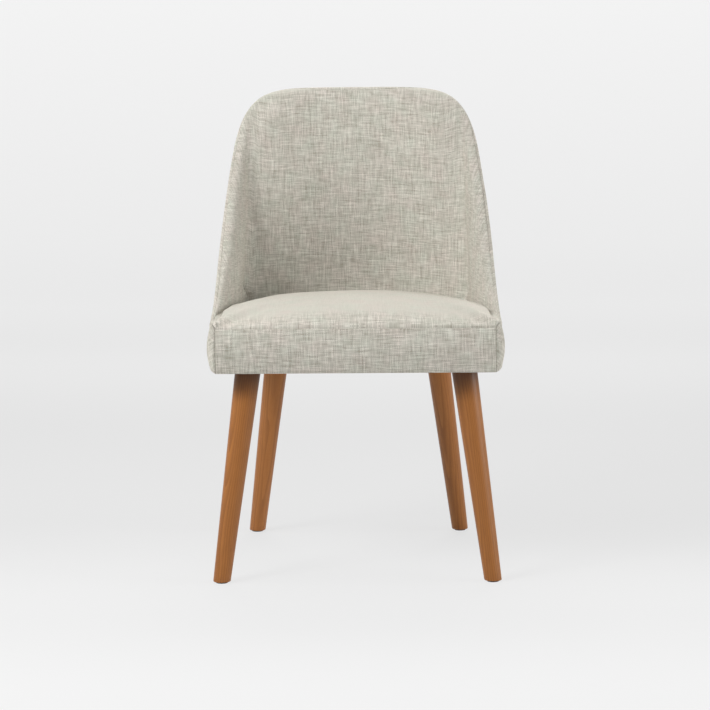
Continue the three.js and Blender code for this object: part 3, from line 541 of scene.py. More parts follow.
def scoop_stations(last):
    half = spread(0, SHOULDER, BACK_STEPS)
    half += spread(SHOULDER, WING_END, WING_STEPS)[1:]
    half += spread(WING_END, CORNER_END, CORNER_STEPS)[1:]
    kept = [q for q in half if q <= last]
    return [-q for q in reversed(kept[1:])] + kept


def dip(distance, width, depth):
    """How deep the cloth lies at a distance from a seam into which it turns."""
    if distance >= width:
        return 0.0
    share = 1 - distance / width
    return depth * (1 - math.sqrt(max(0.0, 1 - share * share)))


def waves(place, height, size):
    """Soft unevenness, the same in every run."""
    return height * noise.noise(place / size)


# Meshes


def loft(rings):
    """Faces of a closed solid through closed rings of as many points each."""
    count = len(rings[0])
    last = (len(rings) - 1) * count
    faces = [tuple(range(count)), tuple(range(last, last + count))]
    for start in range(0, last, count):
        for i in range(count):
            j = (i + 1) % count
            faces.append((start + i, start + j, start + count + j, start + count + i))
    return faces


def closed_mesh(name, points, faces):
    """A closed mesh with its faces outwards."""
    mesh = bpy.data.meshes.new(name)
    mesh.from_pydata([tuple(p) for p in points], [], faces)
    work = bmesh.new()
    work.from_mesh(mesh)
    bmesh.ops.recalc_face_normals(work, faces=work.faces)
    work.to_mesh(mesh)
    work.free()
    return mesh


def make_mesh(name, points, faces, attribute=None, places=None):
    """A closed mesh, smooth but for its sharp edges, whose points may know their places in the material."""
    mesh = closed_mesh(name, points, faces)
    if attribute:
        made = mesh.attributes.new(attribute, "FLOAT_VECTOR", "POINT")
        made.data.foreach_set("vector", np.asarray(places, dtype=np.float32).ravel())
    mesh.shade_smooth()
    mesh.set_sharp_from_angle(angle=math.radians(SHARP_ANGLE))
    return mesh


def linked(name, data):
    """A new object in the scene."""
    made = bpy.data.objects.new(name, data)
    bpy.context.scene.collection.objects.link(made)
    return made


def simulate_cloth(points, faces, freedom, voxel, most, sideways_share, held_below):
    """Swells a copy of a padded form as cloth under pressure and lays the form's free points on it."""
    piece = linked("cloth_source", closed_mesh("cloth_source", points, faces))
    remesh = piece.modifiers.new("cells", "REMESH")
    remesh.mode = "VOXEL"
    remesh.voxel_size = voxel
    source = apply_modifiers(piece)
    before = [v.co.copy() for v in source.vertices]
    held = piece.vertex_groups.new(name="held")
    held.add([v.index for v in source.vertices if v.co.z < held_below], 1.0, "REPLACE")
    cloth = piece.modifiers.new("cloth", "CLOTH")
    cloth.settings.use_pressure = True
    cloth.settings.uniform_pressure_force = CLOTH_PRESSURE
    cloth.settings.effector_weights.gravity = 0
    cloth.settings.vertex_group_mass = held.name
    cloth.settings.quality = CLOTH_QUALITY
    cloth.point_cache.frame_end = CLOTH_FRAMES
    for number in range(CLOTH_FRAMES):
        bpy.context.scene.frame_set(number + 1)
    source = apply_modifiers(piece)
    bpy.context.scene.frame_set(1)
    for vertex, start in zip(source.vertices, before):
        move = vertex.co - start
        if move.length > 0:
            move *= most * math.tanh(move.length / most) / move.length
        vertex.co = start + Vector((move.x * sideways_share, move.y * sideways_share, move.z))
    piece.modifiers.new("finer", "SUBSURF").levels = 1
    source = apply_modifiers(piece)
    after = [v.co.copy() for v in source.vertices]
    surface = BVHTree.FromPolygons(after, [tuple(face.vertices) for face in source.polygons])
    down = Vector((0, 0, -1))
    for p, free in zip(points, freedom):
        at, normal, index, distance = surface.ray_cast(Vector((p.x, p.y, OVERALL_HEIGHT)), down)
        if at:
            p.z = mix(p.z, at.z, free)
    bpy.data.objects.remove(piece)


def apply_modifiers(piece):
    """Turns what a piece's modifiers make into its own mesh."""
    graph = bpy.context.evaluated_depsgraph_get()
    graph.update()
    made = bpy.data.meshes.new_from_object(piece.evaluated_get(graph), depsgraph=graph)
    piece.modifiers.clear()
    old = piece.data
    piece.data = made
    bpy.data.meshes.remove(old)
    return made


def add_piece(mesh, material, stands_for=()):
    """A piece of the chair in the frame's place, standing for the solids named."""
    piece = linked(mesh.name, mesh)
    mesh.materials.append(material)
    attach(piece, "root")
    if stands_for:
        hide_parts(*stands_for)
    return piece


def joined(rings):
    return [p for ring in rings for p in ring]


def upholstered(context, name, rings, places, stands_for):
    """A piece covered with the cloth."""
    mesh = make_mesh(name, joined(rings), loft(rings), "thread_place", places)
    return add_piece(mesh, woven_linen(context.scene.chair_cloth), stands_for)


def mark_nap_and_painted_light(mesh, measure, first, last):
    """Marks where the nap lies flat and the cloth is painted lighter, from not at all to fully between two
    values of a measure.
    """
    pressed = [ramp(measure(v), first, last) for v in mesh.vertices]
    mesh.attributes.new("pressed", "FLOAT", "POINT").data.foreach_set("value", pressed)


def thread_places(rings, number):
    """Where each point lies on the flat cloth: across, along and a number for the piece."""
    grid = np.array([[tuple(p) for p in ring] for ring in rings])
    level = np.hypot(np.diff(grid[:, :, 0], axis=0), np.diff(grid[:, :, 1], axis=0))
    across = np.zeros(grid.shape[:2])
    across[1:] = np.cumsum(level, axis=0)
    across -= across[len(rings) // 2]
    steps = np.linalg.norm(np.diff(grid, axis=1), axis=2)
    along = np.zeros(grid.shape[:2])
    along[:, 1:] = np.cumsum(steps, axis=1)
    places = np.stack([across, along, np.full(across.shape, number)], axis=2)
    return places.reshape(-1, 3)


# Materials


def add_node(tree, kind, inputs=None, **settings):
    """Adds a shader node. An input given as a node or an output is linked, and any other value is set."""
    made = tree.nodes.new("ShaderNode" + kind)
    for name, value in settings.items():
        setattr(made, name, value)
    for name, value in (inputs or {}).items():
        known = made.inputs[name] if isinstance(name, int) else None
        socket = known or next(s for s in made.inputs if s.name == name and s.enabled)
        if isinstance(value, bpy.types.Node):
            value = next(s for s in value.outputs if s.enabled)
        if isinstance(value, bpy.types.NodeSocket):
            tree.links.new(value, socket)
        elif socket.type == "RGBA":
            socket.default_value = (*value[:3], 1)
        else:
            socket.default_value = value
    return made


def new_material(name):
    """A material, its node tree, a function that adds a node to it, and its shader."""
    material = bpy.data.materials.new(name)
    material.use_nodes = True
    tree = material.node_tree
    return material, tree, partial(add_node, tree), tree.nodes["Principled BSDF"]


def woven_linen(cloth):
    """Plain-woven linen blend: matt, with uneven pale and grey-beige yarns both ways and a faint nap."""
    # Real yarns lie about a millimetre apart. They are drawn half as coarse again, so that they show.
    name = "woven_linen_blend"
    if name in bpy.data.materials:
        return bpy.data.materials[name]
    material, tree, add, shader = new_material(name)
    place = add("Attribute", attribute_name="thread_place")
    split = add("SeparateXYZ", {0: place.outputs["Vector"]})
    across, along, piece = split.outputs
    # Yarns are numbered both ways, and each has its own shade that changes along it.
    numbers = []
    shades = []
    for count, length, seed in ((along, across, 3.17), (across, along, 5.31)):
        turns = add("Math", {0: count, 1: cloth.yarn_spacing}, operation="DIVIDE")
        number = add("Math", {0: turns}, operation="FLOOR")
        own = add("Math", {0: number, 1: seed, 2: piece}, operation="MULTIPLY_ADD")
        run = add("Math", {0: length, 1: cloth.slub_length}, operation="DIVIDE")
        at = add("CombineXYZ", {"X": run, "Y": own, "Z": seed})
        shade = add("TexNoise", {"Vector": at, "Scale": 1.0, "Detail": 2.0, "Roughness": 0.6})
        numbers.append(number)
        shades.append(shade.outputs["Fac"])
    both = add("Math", {0: numbers[0], 1: numbers[1]}, operation="ADD")
    over = add("Math", {0: both, 1: 2.0}, operation="FLOORED_MODULO")
    shown = add("MapRange", {"Value": over, "To Min": 0.25, "To Max": 0.75})
    yarn = add("Mix", {"Factor": shown, "A": shades[0], "B": shades[1]})
    plain = add("MapRange", {"Value": yarn, "From Min": 0.36, "From Max": 0.66})
    # Where the nap lies flat the yarns are made even, and there they are also painted paler: flattened nap
    # where the seat is sat on, and painted light on the tops that face up, which leaves the seat's front roll
    # darker.
    pressed = add("Attribute", attribute_name="pressed")
    most_evened = 0.8
    evened_lit_tone = 0.6
    evened_and_lit = add("Math", {0: pressed.outputs["Fac"], 1: most_evened}, operation="MULTIPLY")
    pale = add("Mix", {"Factor": evened_and_lit, "A": plain, "B": evened_lit_tone})
    color = add("Mix", {"Factor": pale, "A": cloth.dark_yarn, "B": cloth.pale_yarn}, data_type="RGBA")
    # The dye has taken unevenly, a little pinker in one place and greener in the next.
    patch_size = 0.03
    patches = add("TexNoise", {"Vector": place.outputs["Vector"], "Scale": 1 / patch_size, "Detail": 3.0})
    tint = add(
        "Mix",
        {"Factor": patches.outputs["Fac"], "A": linear("#F2FBF5"), "B": linear("#FFF4F4")},
        data_type="RGBA",
    )
    dyed = add("Mix", {"Factor": 1.0, "A": color, "B": tint}, data_type="RGBA", blend_type="MULTIPLY")
    # Each crossing is a small cushion of yarn, higher where a yarn is thick.
    heights = []
    for axis in (across, along):
        turn = add("Math", {0: axis, 1: math.pi / cloth.yarn_spacing}, operation="MULTIPLY")
        wave = add("Math", {0: turn}, operation="SINE")
        heights.append(add("Math", {0: wave}, operation="ABSOLUTE"))
    crossing = add("Math", {0: heights[0], 1: heights[1]}, operation="MULTIPLY")
    height = add("Math", {0: crossing, 1: 0.7, 2: yarn}, operation="MULTIPLY_ADD")
    bump = add("Bump", {"Strength": 1.0, "Distance": cloth.yarn_height, "Height": height})
    tree.links.new(dyed.outputs[2], shader.inputs["Base Color"])
    tree.links.new(bump.outputs[0], shader.inputs["Normal"])
    shader.inputs["Roughness"].default_value = 0.92
    shader.inputs["IOR"].default_value = 1.5
    shader.inputs["Specular IOR Level"].default_value = 0.25
    shader.inputs["Sheen Weight"].default_value = 0.3
    shader.inputs["Sheen Roughness"].default_value = 0.45
    shader.inputs["Sheen Tint"].default_value = (*linear("#FFF8EA"), 1)
    return material


def stained_walnut(wood):
    """Turned hardwood with a walnut stain under satin lacquer: straight figure, fine pores, soft gloss."""
    name = "stained_turned_walnut"
    if name in bpy.data.materials:
        return bpy.data.materials[name]
    material, tree, add, shader = new_material(name)
    place = add("Attribute", attribute_name="grain_place")
    grain = place.outputs["Vector"]
    # Growth rings, seen as long lines that wander slightly along the leg
    bends = (26.0, 26.0, 3.2)  # in a metre, across the leg twice and along it
    ring_sway = 0.016
    bend = add("VectorMath", {0: grain, 1: bends}, operation="MULTIPLY")
    wander = add("TexNoise", {"Vector": bend, "Scale": 1.0, "Detail": 2.0})
    pith = add("VectorMath", {0: grain, 1: (1.0, 1.0, 0.0)}, operation="MULTIPLY")
    radius = add("VectorMath", {0: pith}, operation="LENGTH")
    shift = add(
        "Math",
        {0: wander.outputs["Fac"], 1: ring_sway, 2: radius.outputs["Value"]},
        operation="MULTIPLY_ADD",
    )
    years = add("Math", {0: shift, 1: wood.ring_spacing}, operation="DIVIDE")
    year = add("Math", {0: years}, operation="FRACT")
    late = add(
        "MapRange",
        {"Value": year, "From Min": 0.1, "From Max": 1.0, "To Max": 0.35},
        interpolation_type="SMOOTHSTEP",
    )
    # Fibres and pores, long and thin
    fibre_width = 0.0011
    fibre_length = 0.05
    fibres_at = add(
        "VectorMath",
        {0: grain, 1: (1 / fibre_width, 1 / fibre_width, 1 / fibre_length)},
        operation="MULTIPLY",
    )
    fibres = add("TexNoise", {"Vector": fibres_at, "Scale": 1.0, "Detail": 3.0, "Roughness": 0.6})
    pore_width = 0.0005
    pore_length = 0.009
    pores_at = add(
        "VectorMath", {0: grain, 1: (1 / pore_width, 1 / pore_width, 1 / pore_length)}, operation="MULTIPLY"
    )
    pores = add("TexNoise", {"Vector": pores_at, "Scale": 1.0, "Detail": 1.0})
    pore = add(
        "MapRange", {"Value": pores.outputs["Fac"], "From Min": 0.64, "From Max": 0.8, "To Max": 0.5}
    )
    figure = add("Math", {0: fibres.outputs["Fac"], 1: 0.75, 2: late}, operation="MULTIPLY_ADD")
    share = add("MapRange", {"Value": figure, "From Min": 0.25, "From Max": 1.0})
    color = add("Mix", {"Factor": share, "A": wood.pale_grain, "B": wood.dark_grain}, data_type="RGBA")
    poured = add("Mix", {"Factor": pore, "A": color, "B": linear("#4E2A17")}, data_type="RGBA")
    # Painted shade: the top of each leg, just under the seat, is darkened towards a dark brown where the
    # seat's shadow falls, fading out a little way down the leg.
    seat_shadow_from, seat_shadow_full = 0.3, 0.355
    coordinates = add("TexCoord")
    height = add("SeparateXYZ", {0: coordinates.outputs["Object"]})
    painted_seat_shadow = add(
        "MapRange",
        {"Value": height.outputs["Z"], "From Min": seat_shadow_from, "From Max": seat_shadow_full, "To Max": 0.72},
        interpolation_type="SMOOTHSTEP",
    )
    shaded_under_seat = add(
        "Mix", {"Factor": painted_seat_shadow, "A": poured.outputs[2], "B": linear("#2E1509")}, data_type="RGBA"
    )
    rough = add("MapRange", {"Value": fibres.outputs["Fac"], "To Min": 0.36, "To Max": 0.5})
    relief = add("Math", {0: pore, 1: -1.0, 2: fibres.outputs["Fac"]}, operation="MULTIPLY_ADD")
    pore_depth = 0.00008
    bump = add("Bump", {"Strength": 0.5, "Distance": pore_depth, "Height": relief})
    tree.links.new(shaded_under_seat.outputs[2], shader.inputs["Base Color"])
    tree.links.new(rough.outputs[0], shader.inputs["Roughness"])
    tree.links.new(bump.outputs[0], shader.inputs["Normal"])
    shader.inputs["IOR"].default_value = 1.5
    shader.inputs["Specular IOR Level"].default_value = 0.3
    shader.inputs["Coat Weight"].default_value = 0.06
    shader.inputs["Coat Roughness"].default_value = 0.3
    return material


def streaked(name, pale, dark, width, length, roughness, metallic=0.0, relief=0.00005):
    """A finish with streaks of a real width and length along Y, such as planed wood or drawn metal."""
    if name in bpy.data.materials:
        return bpy.data.materials[name]
    material, tree, add, shader = new_material(name)
    place = add("TexCoord")
    at = add(
        "VectorMath",
        {0: place.outputs["Object"], 1: (1 / width, 1 / length, 1 / width)},
        operation="MULTIPLY",
    )
    streaks = add("TexNoise", {"Vector": at, "Scale": 1.0, "Detail": 4.0, "Roughness": 0.6})
    color = add(
        "Mix", {"Factor": streaks.outputs["Fac"], "A": linear(pale), "B": linear(dark)}, data_type="RGBA"
    )
    bump = add("Bump", {"Strength": 0.5, "Distance": relief, "Height": streaks.outputs["Fac"]})
    tree.links.new(color.outputs[2], shader.inputs["Base Color"])
    tree.links.new(bump.outputs[0], shader.inputs["Normal"])
    shader.inputs["Roughness"].default_value = roughness
    shader.inputs["Metallic"].default_value = metallic
    return material


def frame_finishes():
    """Finishes of the pieces that keep their solids, by the record's slot."""
    return {
        # Rotary-cut birch, moulded and left bare: pale, with long soft figure
        "plywood": streaked("moulded_birch_plywood", "#D9BF93", "#BE9C69", 0.004, 0.06, 0.62),
        # Planed beech, left bare: pinkish, with short fine flecks
        "frame_wood": streaked("planed_beech", "#CFA579", "#B3845A", 0.0012, 0.012, 0.58),
        # Moulded nylon: dark brown, dull, faintly orange-peeled
        "glide": streaked("moulded_nylon", "#40372F", "#332B25", 0.001, 0.001, 0.5),
        # Elastic webbing: rubber and jute woven tight, ribbed along its length
        "webbing": streaked("elastic_webbing", "#7A6C58", "#3F382F", 0.0022, 0.03, 0.85, relief=0.0003),
        # Bright zinc plate over steel: slightly blue, finely streaked
        "zinc_steel": streaked("zinc_plated_steel", "#C8CCCE", "#A9AFB3", 0.0005, 0.004, 0.32, 1.0),
    }


# Pieces


class CHAIR_OT_outer_cover(bpy.types.Operator):
    """Sews the outside cover: hem, padded sides, outside back and its half of the rim"""

    bl_idname = "chair.outer_cover"
    bl_label = "Outer cover"

    def section(self, station, end_dip, cloth):
        roll = RimRoll(station)
        hem = hem_depth(station)
        side = CLOTH - swell(station, FRAME_BOTTOM - GAP)
        points = rounded_hem(side, hem + CLOTH / 2, hem, swell(station, FRAME_BOTTOM))
        lower = spread(FRAME_BOTTOM, PAD_BOTTOM, 8)[:-1]
        upper = [mix(PAD_BOTTOM, roll.start, share**ROW_CROWDING) for share in spread(0, 1, 30)]
        points += [(-swell(station, z), z) for z in lower + upper]
        last = seam_angle(station) - SEAM_GAP
        seam_depth = rim_seam_depth(station, cloth.seam_depth)
        for share in spread(1, 0, 18)[1:]:
            degrees = last * (1 - share**ROW_CROWDING)
            left = roll.distance(degrees, last)
            points.append(roll.point(degrees, dip(left, cloth.seam_width, seam_depth)))
        points = [(inset + end_dip, z) for inset, z in points]
        points += [roll.point(degrees, CLOTH + cloth.seam_depth) for degrees in (last, last / 2)]
        backs = [FRAME_BOTTOM, *spread(PAD_BOTTOM, roll.start, 6)]
        points += [(CLOTH - swell(station, z) + end_dip, z) for z in reversed(backs)]
        return points

    def execute(self, context):
        cloth = context.scene.chair_cloth
        corner = FRONT_CORNER_WIDTH + FRONT_CORNER_DEPTH
        rings = []
        for station in scoop_stations(CORNER_END):
            left = (CORNER_END - abs(station)) * corner * math.pi / 4
            end_dip = dip(left, cloth.seam_width, cloth.seam_depth) * CORNER_SEAM_SHARE
            ring = []
            for inset, z in self.section(station, end_dip, cloth):
                place = scoop_point(station, inset, z)
                lift = waves(place, cloth.unevenness / 2, OUTSIDE_WAVES)
                ring.append(scoop_point(station, inset - lift, z))
            rings.append(ring)
        places = thread_places(rings, OUTSIDE_CLOTH)
        upholstered(context, "outer_cover_cloth", rings, places, ["outer_cover", "edge_wadding"])
        return {"FINISHED"}


class CHAIR_OT_inside_back(bpy.types.Operator):
    """Upholsters the inside of the back and wings, from the seam on the rim down behind the seat"""

    bl_idname = "chair.inside_back"
    bl_label = "Inside back"

    askew: bpy.props.FloatProperty(
        name="Askew", description="How far the threads rise across the back, of its width", default=0.03
    )
    other_fold: bpy.props.FloatProperty(
        name="Other fold", description="Depth of the fold on the sitter's left, of the other", default=0.25
    )

    def section(self, station, cloth):
        roll = RimRoll(station)
        first = seam_angle(station) + SEAM_GAP
        seam_depth = rim_seam_depth(station, cloth.seam_depth)
        end = max(first, 90) + INSIDE_ROLL_PAST_CREST
        points = [roll.point(first, PLY_OUTER + cloth.seam_depth / 4)]
        for share in spread(0, 1, 22)[:-1]:
            degrees = mix(first, end, share**ROW_CROWDING)
            left = roll.distance(degrees, first)
            points.append(roll.point(degrees, dip(left, cloth.seam_width, seam_depth)))
        top = roll.point(end, 0)[1]
        levels = [mix(PAD_BOTTOM, top, 1 - share**LEVEL_CROWDING) for share in spread(0, 1, 56)]
        points += [(inner_inset(station, z), z) for z in levels]
        bottom = len(points) - 1
        for z in spread(PAD_BOTTOM, roll.start, 6):
            points.append((min(RAIL_OUTER, inner_inset(station, z) - CLOTH), z))
        points.append((min(PLY_OUTER, RAIL_OUTER), roll.start))
        return points, bottom

    def fold(self, station, z):
        """How deep a fold is pushed into the cover where the wing meets the back, above the seat."""
        at = Vector((abs(station) * STATION_LENGTH, z))
        top = Vector((FOLD_TOP[0] * STATION_LENGTH, FOLD_TOP[1]))
        bottom = Vector((FOLD_BOTTOM[0] * STATION_LENGTH, FOLD_BOTTOM[1]))
        way = bottom - top
        share = clamp01((at - top).dot(way) / way.length_squared)
        away = (at - top - way * share).length / FOLD_WIDTH
        wingwards = way.x * (at - top).y - way.y * (at - top).x
        side = 1.0 if station < 0 else self.other_fold
        form = math.exp(-away * away)
        if wingwards > 0:
            form -= FOLD_OVERLAP * math.exp(-((away - 2) ** 2))
        return FOLD_DEPTH * side * form * ramp(share, 0, FOLD_FADE)

    def execute(self, context):
        cloth = context.scene.chair_cloth
        stations = scoop_stations(CORNER_END)
        rings = []
        for station in stations:
            ring = []
            section, bottom = self.section(station, cloth)
            for number, (inset, z) in enumerate(section):
                place = scoop_point(station, inset, z)
                lift = waves(place, cloth.unevenness, INSIDE_WAVES) * clamp01(inset / WING_THICKNESS)
                if number <= bottom:
                    lift -= self.fold(station, z)
                ring.append(scoop_point(station, inset + lift - cloth.unevenness / 2, z))
            rings.append(ring)
        places = thread_places(rings, INSIDE_CLOTH).reshape(len(rings), -1, 3)
        up = places[:, bottom, None, 1] - places[:, :, 1]
        heights = np.array([[p.z - PAD_BOTTOM for p in ring] for ring in rings])
        wing = np.array([[ramp(abs(q), *WING_THREADS)] for q in stations])
        places[:, :, 1] = mix(up, heights, wing) + self.askew * places[:, :, 0]
        piece = upholstered(context, "inside_back_padded", rings, places, ["inner_cover", "back_pad"])
        # Painted light: the rim's faces that look up are drawn evener and paler.
        mark_nap_and_painted_light(piece.data, lambda v: v.normal.z, *PAINTED_LIGHT_RIM)
        return {"FINISHED"}


class CHAIR_OT_seat_cushion(bpy.types.Operator):
    """Upholsters the seat: a crowned cushion whose edge rolls down between the wings and over the front"""

    bl_idname = "chair.seat_cushion"
    bl_label = "Seat cushion"

    voxel: bpy.props.FloatProperty(
        name="Cell", description="Cell of the simulated cloth", default=0.005, unit="LENGTH"
    )
    most_swelling: bpy.props.FloatProperty(
        name="Most swelling", description="Furthest that the cloth may rise", default=0.005, unit="LENGTH"
    )
    sideways_share: bpy.props.FloatProperty(
        name="Sideways share", description="How much of that the cloth may move sideways", default=0.15
    )

    def outline(self):
        """Points round the cushion: inner edge, outer edge, the outer edge's height and its drop."""
        sides = []
        for q in scoop_stations(WING_END):
            station = abs(q)
            inner = scoop_point(q, seat_inset(q) + SEAT_EASE, 0)
            share = ear_share(station)
            outer = inner.lerp(scoop_point(q, EAR_INSET, 0), share)
            edge = mix(SEAT_EDGE_REAR, SEAT_EDGE_SHOULDER, ramp(station, 0, SEAT_RISE_START))
            edge = mix(edge, SEAT_EDGE_SIDE, ramp(station, SEAT_RISE_START, SEAT_RISE_END))
            above_rim = rim_at(station) + EAR_CLEARANCE - EAR_DROP
            sides.append((inner, outer, mix(min(edge, above_rim), above_rim, share), EAR_DROP))
        corner_x = HALF_WIDTH - FRONT_CORNER_WIDTH - SEAT_EASE
        reach = HALF_WIDTH - EAR_INSET - corner_x
        corner = []
        for degrees in spread(0, 90, 14)[1:]:
            angle = math.radians(degrees)
            share = degrees / 90
            inner = Vector((
                corner_x - SEAT_CORNER_RADIUS * (1 - math.cos(angle)),
                FRONT_Y + SEAT_CORNER_RADIUS * (1 - math.sin(angle)),
                0,
            ))
            outer = Vector((
                corner_x + reach * math.cos(angle), FRONT_Y + FRONT_CORNER_DEPTH * (1 - math.sin(angle)), 0
            ))
            drop = EAR_DROP * (1 - share)
            edge = rim_at(WING_END + share) + EAR_CLEARANCE - drop
            corner.append((inner, outer, edge, drop))
        half = []
        for x in spread(0, corner_x - SEAT_CORNER_RADIUS, 60)[:-1]:
            share = ramp(corner_x - SEAT_CORNER_RADIUS - x, 0, FRONT_CORNER_WIDTH)
            at = Vector((x, FRONT_Y, 0))
            half.append((at, at, mix(corner[-1][2], FRONT_EDGE, share), 0.0))
        right = corner + half[::-1]
        left = [(self.mirror(a), self.mirror(b), edge, drop) for a, b, edge, drop in right[:-1]]
        return sides + right + left[::-1]

    def mirror(self, p):
        return Vector((-p.x, p.y, p.z))

    def softened(self, heights, reach):
        """Heights round the outline, each as the mean of its neighbours' within a reach."""
        count = 2 * reach + 1
        around = np.concatenate([heights[len(heights) - reach :], heights, heights[:reach]])
        return np.convolve(around, np.full(count, 1 / count), "valid")

    def surface(self, top):
        """Rings from the lower edge to the crown, their places on the cloth and their freedom to swell."""
        outline = self.outline()
        rear = max(outer.y for inner, outer, edge, drop in outline)
        middle = Vector((0, (rear + FRONT_Y) / 2, 0))
        half_depth = (rear - FRONT_Y) / 2
        rings = [[], []]
        for inner, outer, edge, drop in outline:
            low = inner.lerp(middle, GAP / half_depth)
            rings[0].append(Vector((low.x, low.y, PAD_BOTTOM)))
            rings[1].append(Vector((inner.x, inner.y, edge + drop - GAP)))
        for degrees in spread(0, 90, 6):
            angle = math.radians(degrees)
            ring = []
            for inner, outer, edge, drop in outline:
                p = inner.lerp(outer, math.sin(angle))
                ring.append(Vector((p.x, p.y, edge + drop * math.cos(angle))))
            rings.append(ring)
        edges = np.array([edge for inner, outer, edge, drop in outline])
        freedom = [0.0] * (len(rings) * len(outline))
        for step in spread(0, 1, CROWN_RINGS)[1:]:
            share = 1 - CROWN_REACH_SHARE * step**CROWN_RING_POWER
            softened = self.softened(edges, round((1 - share) * len(edges) * SEAT_SOFTENING))
            ring = []
            for (inner, outer, edge, drop), level in zip(outline, softened):
                way = outer - middle
                oval = 1 / math.hypot(way.x / HALF_WIDTH, way.y / half_depth)
                p = middle + way * share * mix(1, min(1, oval), ramp(1 - share, 0, OVAL_SHARE))
                crown = top - SEAT_FALL * clamp01((p.y - middle.y) / half_depth) ** SEAT_FALL_POWER
                arch = 1 - SEAT_ARCH * (p.x / HALF_WIDTH) ** 2
                p.z = level + (crown - level) * math.sqrt(1 - share**SEAT_FULLNESS) * arch
                ring.append(p)
            rings.append(ring)
            freedom += [ramp(1 - share, 0, HELD_SHARE)] * len(ring)
        count = len(outline)
        outward = []
        for i in range(count):
            way = outline[(i + 1) % count][0] - outline[i - 1][0]
            outward.append(Vector((way.y, -way.x, 0)).normalized())
        excess = [0.0] * count
        places = [[] for ring in rings]
        for number in reversed(range(len(rings))):
            for i, p in enumerate(rings[number]):
                if number < len(rings) - 1:
                    run = p - rings[number + 1][i]
                    excess[i] += run.length - math.hypot(run.x, run.y)
                at = p + outward[i] * excess[i]
                places[number].append(Vector((at.x, at.y, SEAT_CLOTH)))
        return rings, joined(places), freedom

    def execute(self, context):
        cloth = context.scene.chair_cloth
        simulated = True
        top = SEAT_TOP - self.most_swelling if simulated else SEAT_TOP
        rings, places, freedom = self.surface(top)
        points = joined(rings)
        if simulated:
            limits = (self.most_swelling, self.sideways_share)
            simulate_cloth(points, loft(rings), freedom, self.voxel, *limits, FRONT_EDGE)
        for p in points:
            above = ramp(p.z, FRONT_EDGE, SEAT_TOP)
            p.z += waves(Vector((p.x, p.y, 0)), cloth.unevenness, SEAT_WAVES) * above
            left = math.hypot(p.z - FRONT_EDGE, p.y - FRONT_Y)
            p.y += dip(left, cloth.seam_width, cloth.seam_depth * PANEL_SEAM_SHARE)
        piece = upholstered(context, "seat_cushion", rings, places, ["seat_cover", "seat_pad"])
        # Flattened nap and painted light: the seat's top, back from the front roll, is drawn evener and paler
        # than the roll.
        mark_nap_and_painted_light(piece.data, lambda v: v.co.y - FRONT_Y, ROLL_REACH, FLAT_NAP_AND_LIGHT_REACH)
        return {"FINISHED"}


class CHAIR_OT_front_panel(bpy.types.Operator):
    """Upholsters the panel across the front of the seat, seamed along its top and at both corners"""

    bl_idname = "chair.front_panel"
    bl_label = "Front panel"

    def execute(self, context):
        cloth = context.scene.chair_cloth
        reach = HALF_WIDTH - FRONT_CORNER_WIDTH - GAP
        profile = rounded_hem(CLOTH, TURN_UNDER, CORNER_HEM_DEPTH, swell(CORNER_END, FRAME_BOTTOM))
        for z in spread(FRAME_BOTTOM, BAND_TOP, 30):
            inset = dip(BAND_TOP - z, cloth.seam_width, cloth.seam_depth * PANEL_SEAM_SHARE)
            profile.append((inset - swell(CORNER_END, z), z))
        profile.append((CLOTH + cloth.seam_depth, BAND_TOP))
        profile += [(CLOTH - swell(CORNER_END, z), z) for z in spread(BAND_TOP - PANEL_LAP, FRAME_BOTTOM, 5)]
        ends = spread(0, cloth.seam_width, 5)
        between = spread(cloth.seam_width - reach, reach - cloth.seam_width, 90)[1:-1]
        xs = [e - reach for e in ends] + between + [reach - e for e in reversed(ends)]
        rings = []
        for x in xs:
            end_dip = dip(reach - abs(x), cloth.seam_width, cloth.seam_depth) * CORNER_SEAM_SHARE
            ring = []
            for inset, z in profile:
                place = Vector((x, 0, z))
                y = FRONT_Y + inset + end_dip + waves(place, cloth.unevenness / 2, PANEL_WAVES)
                ring.append(Vector((x, y, z)))
            rings.append(ring)
        places = [(p.x, p.z + PANEL_THREADS_START, PANEL_CLOTH) for p in joined(rings)]
        upholstered(context, "front_panel_padded", rings, places, ["front_band"])
        return {"FINISHED"}


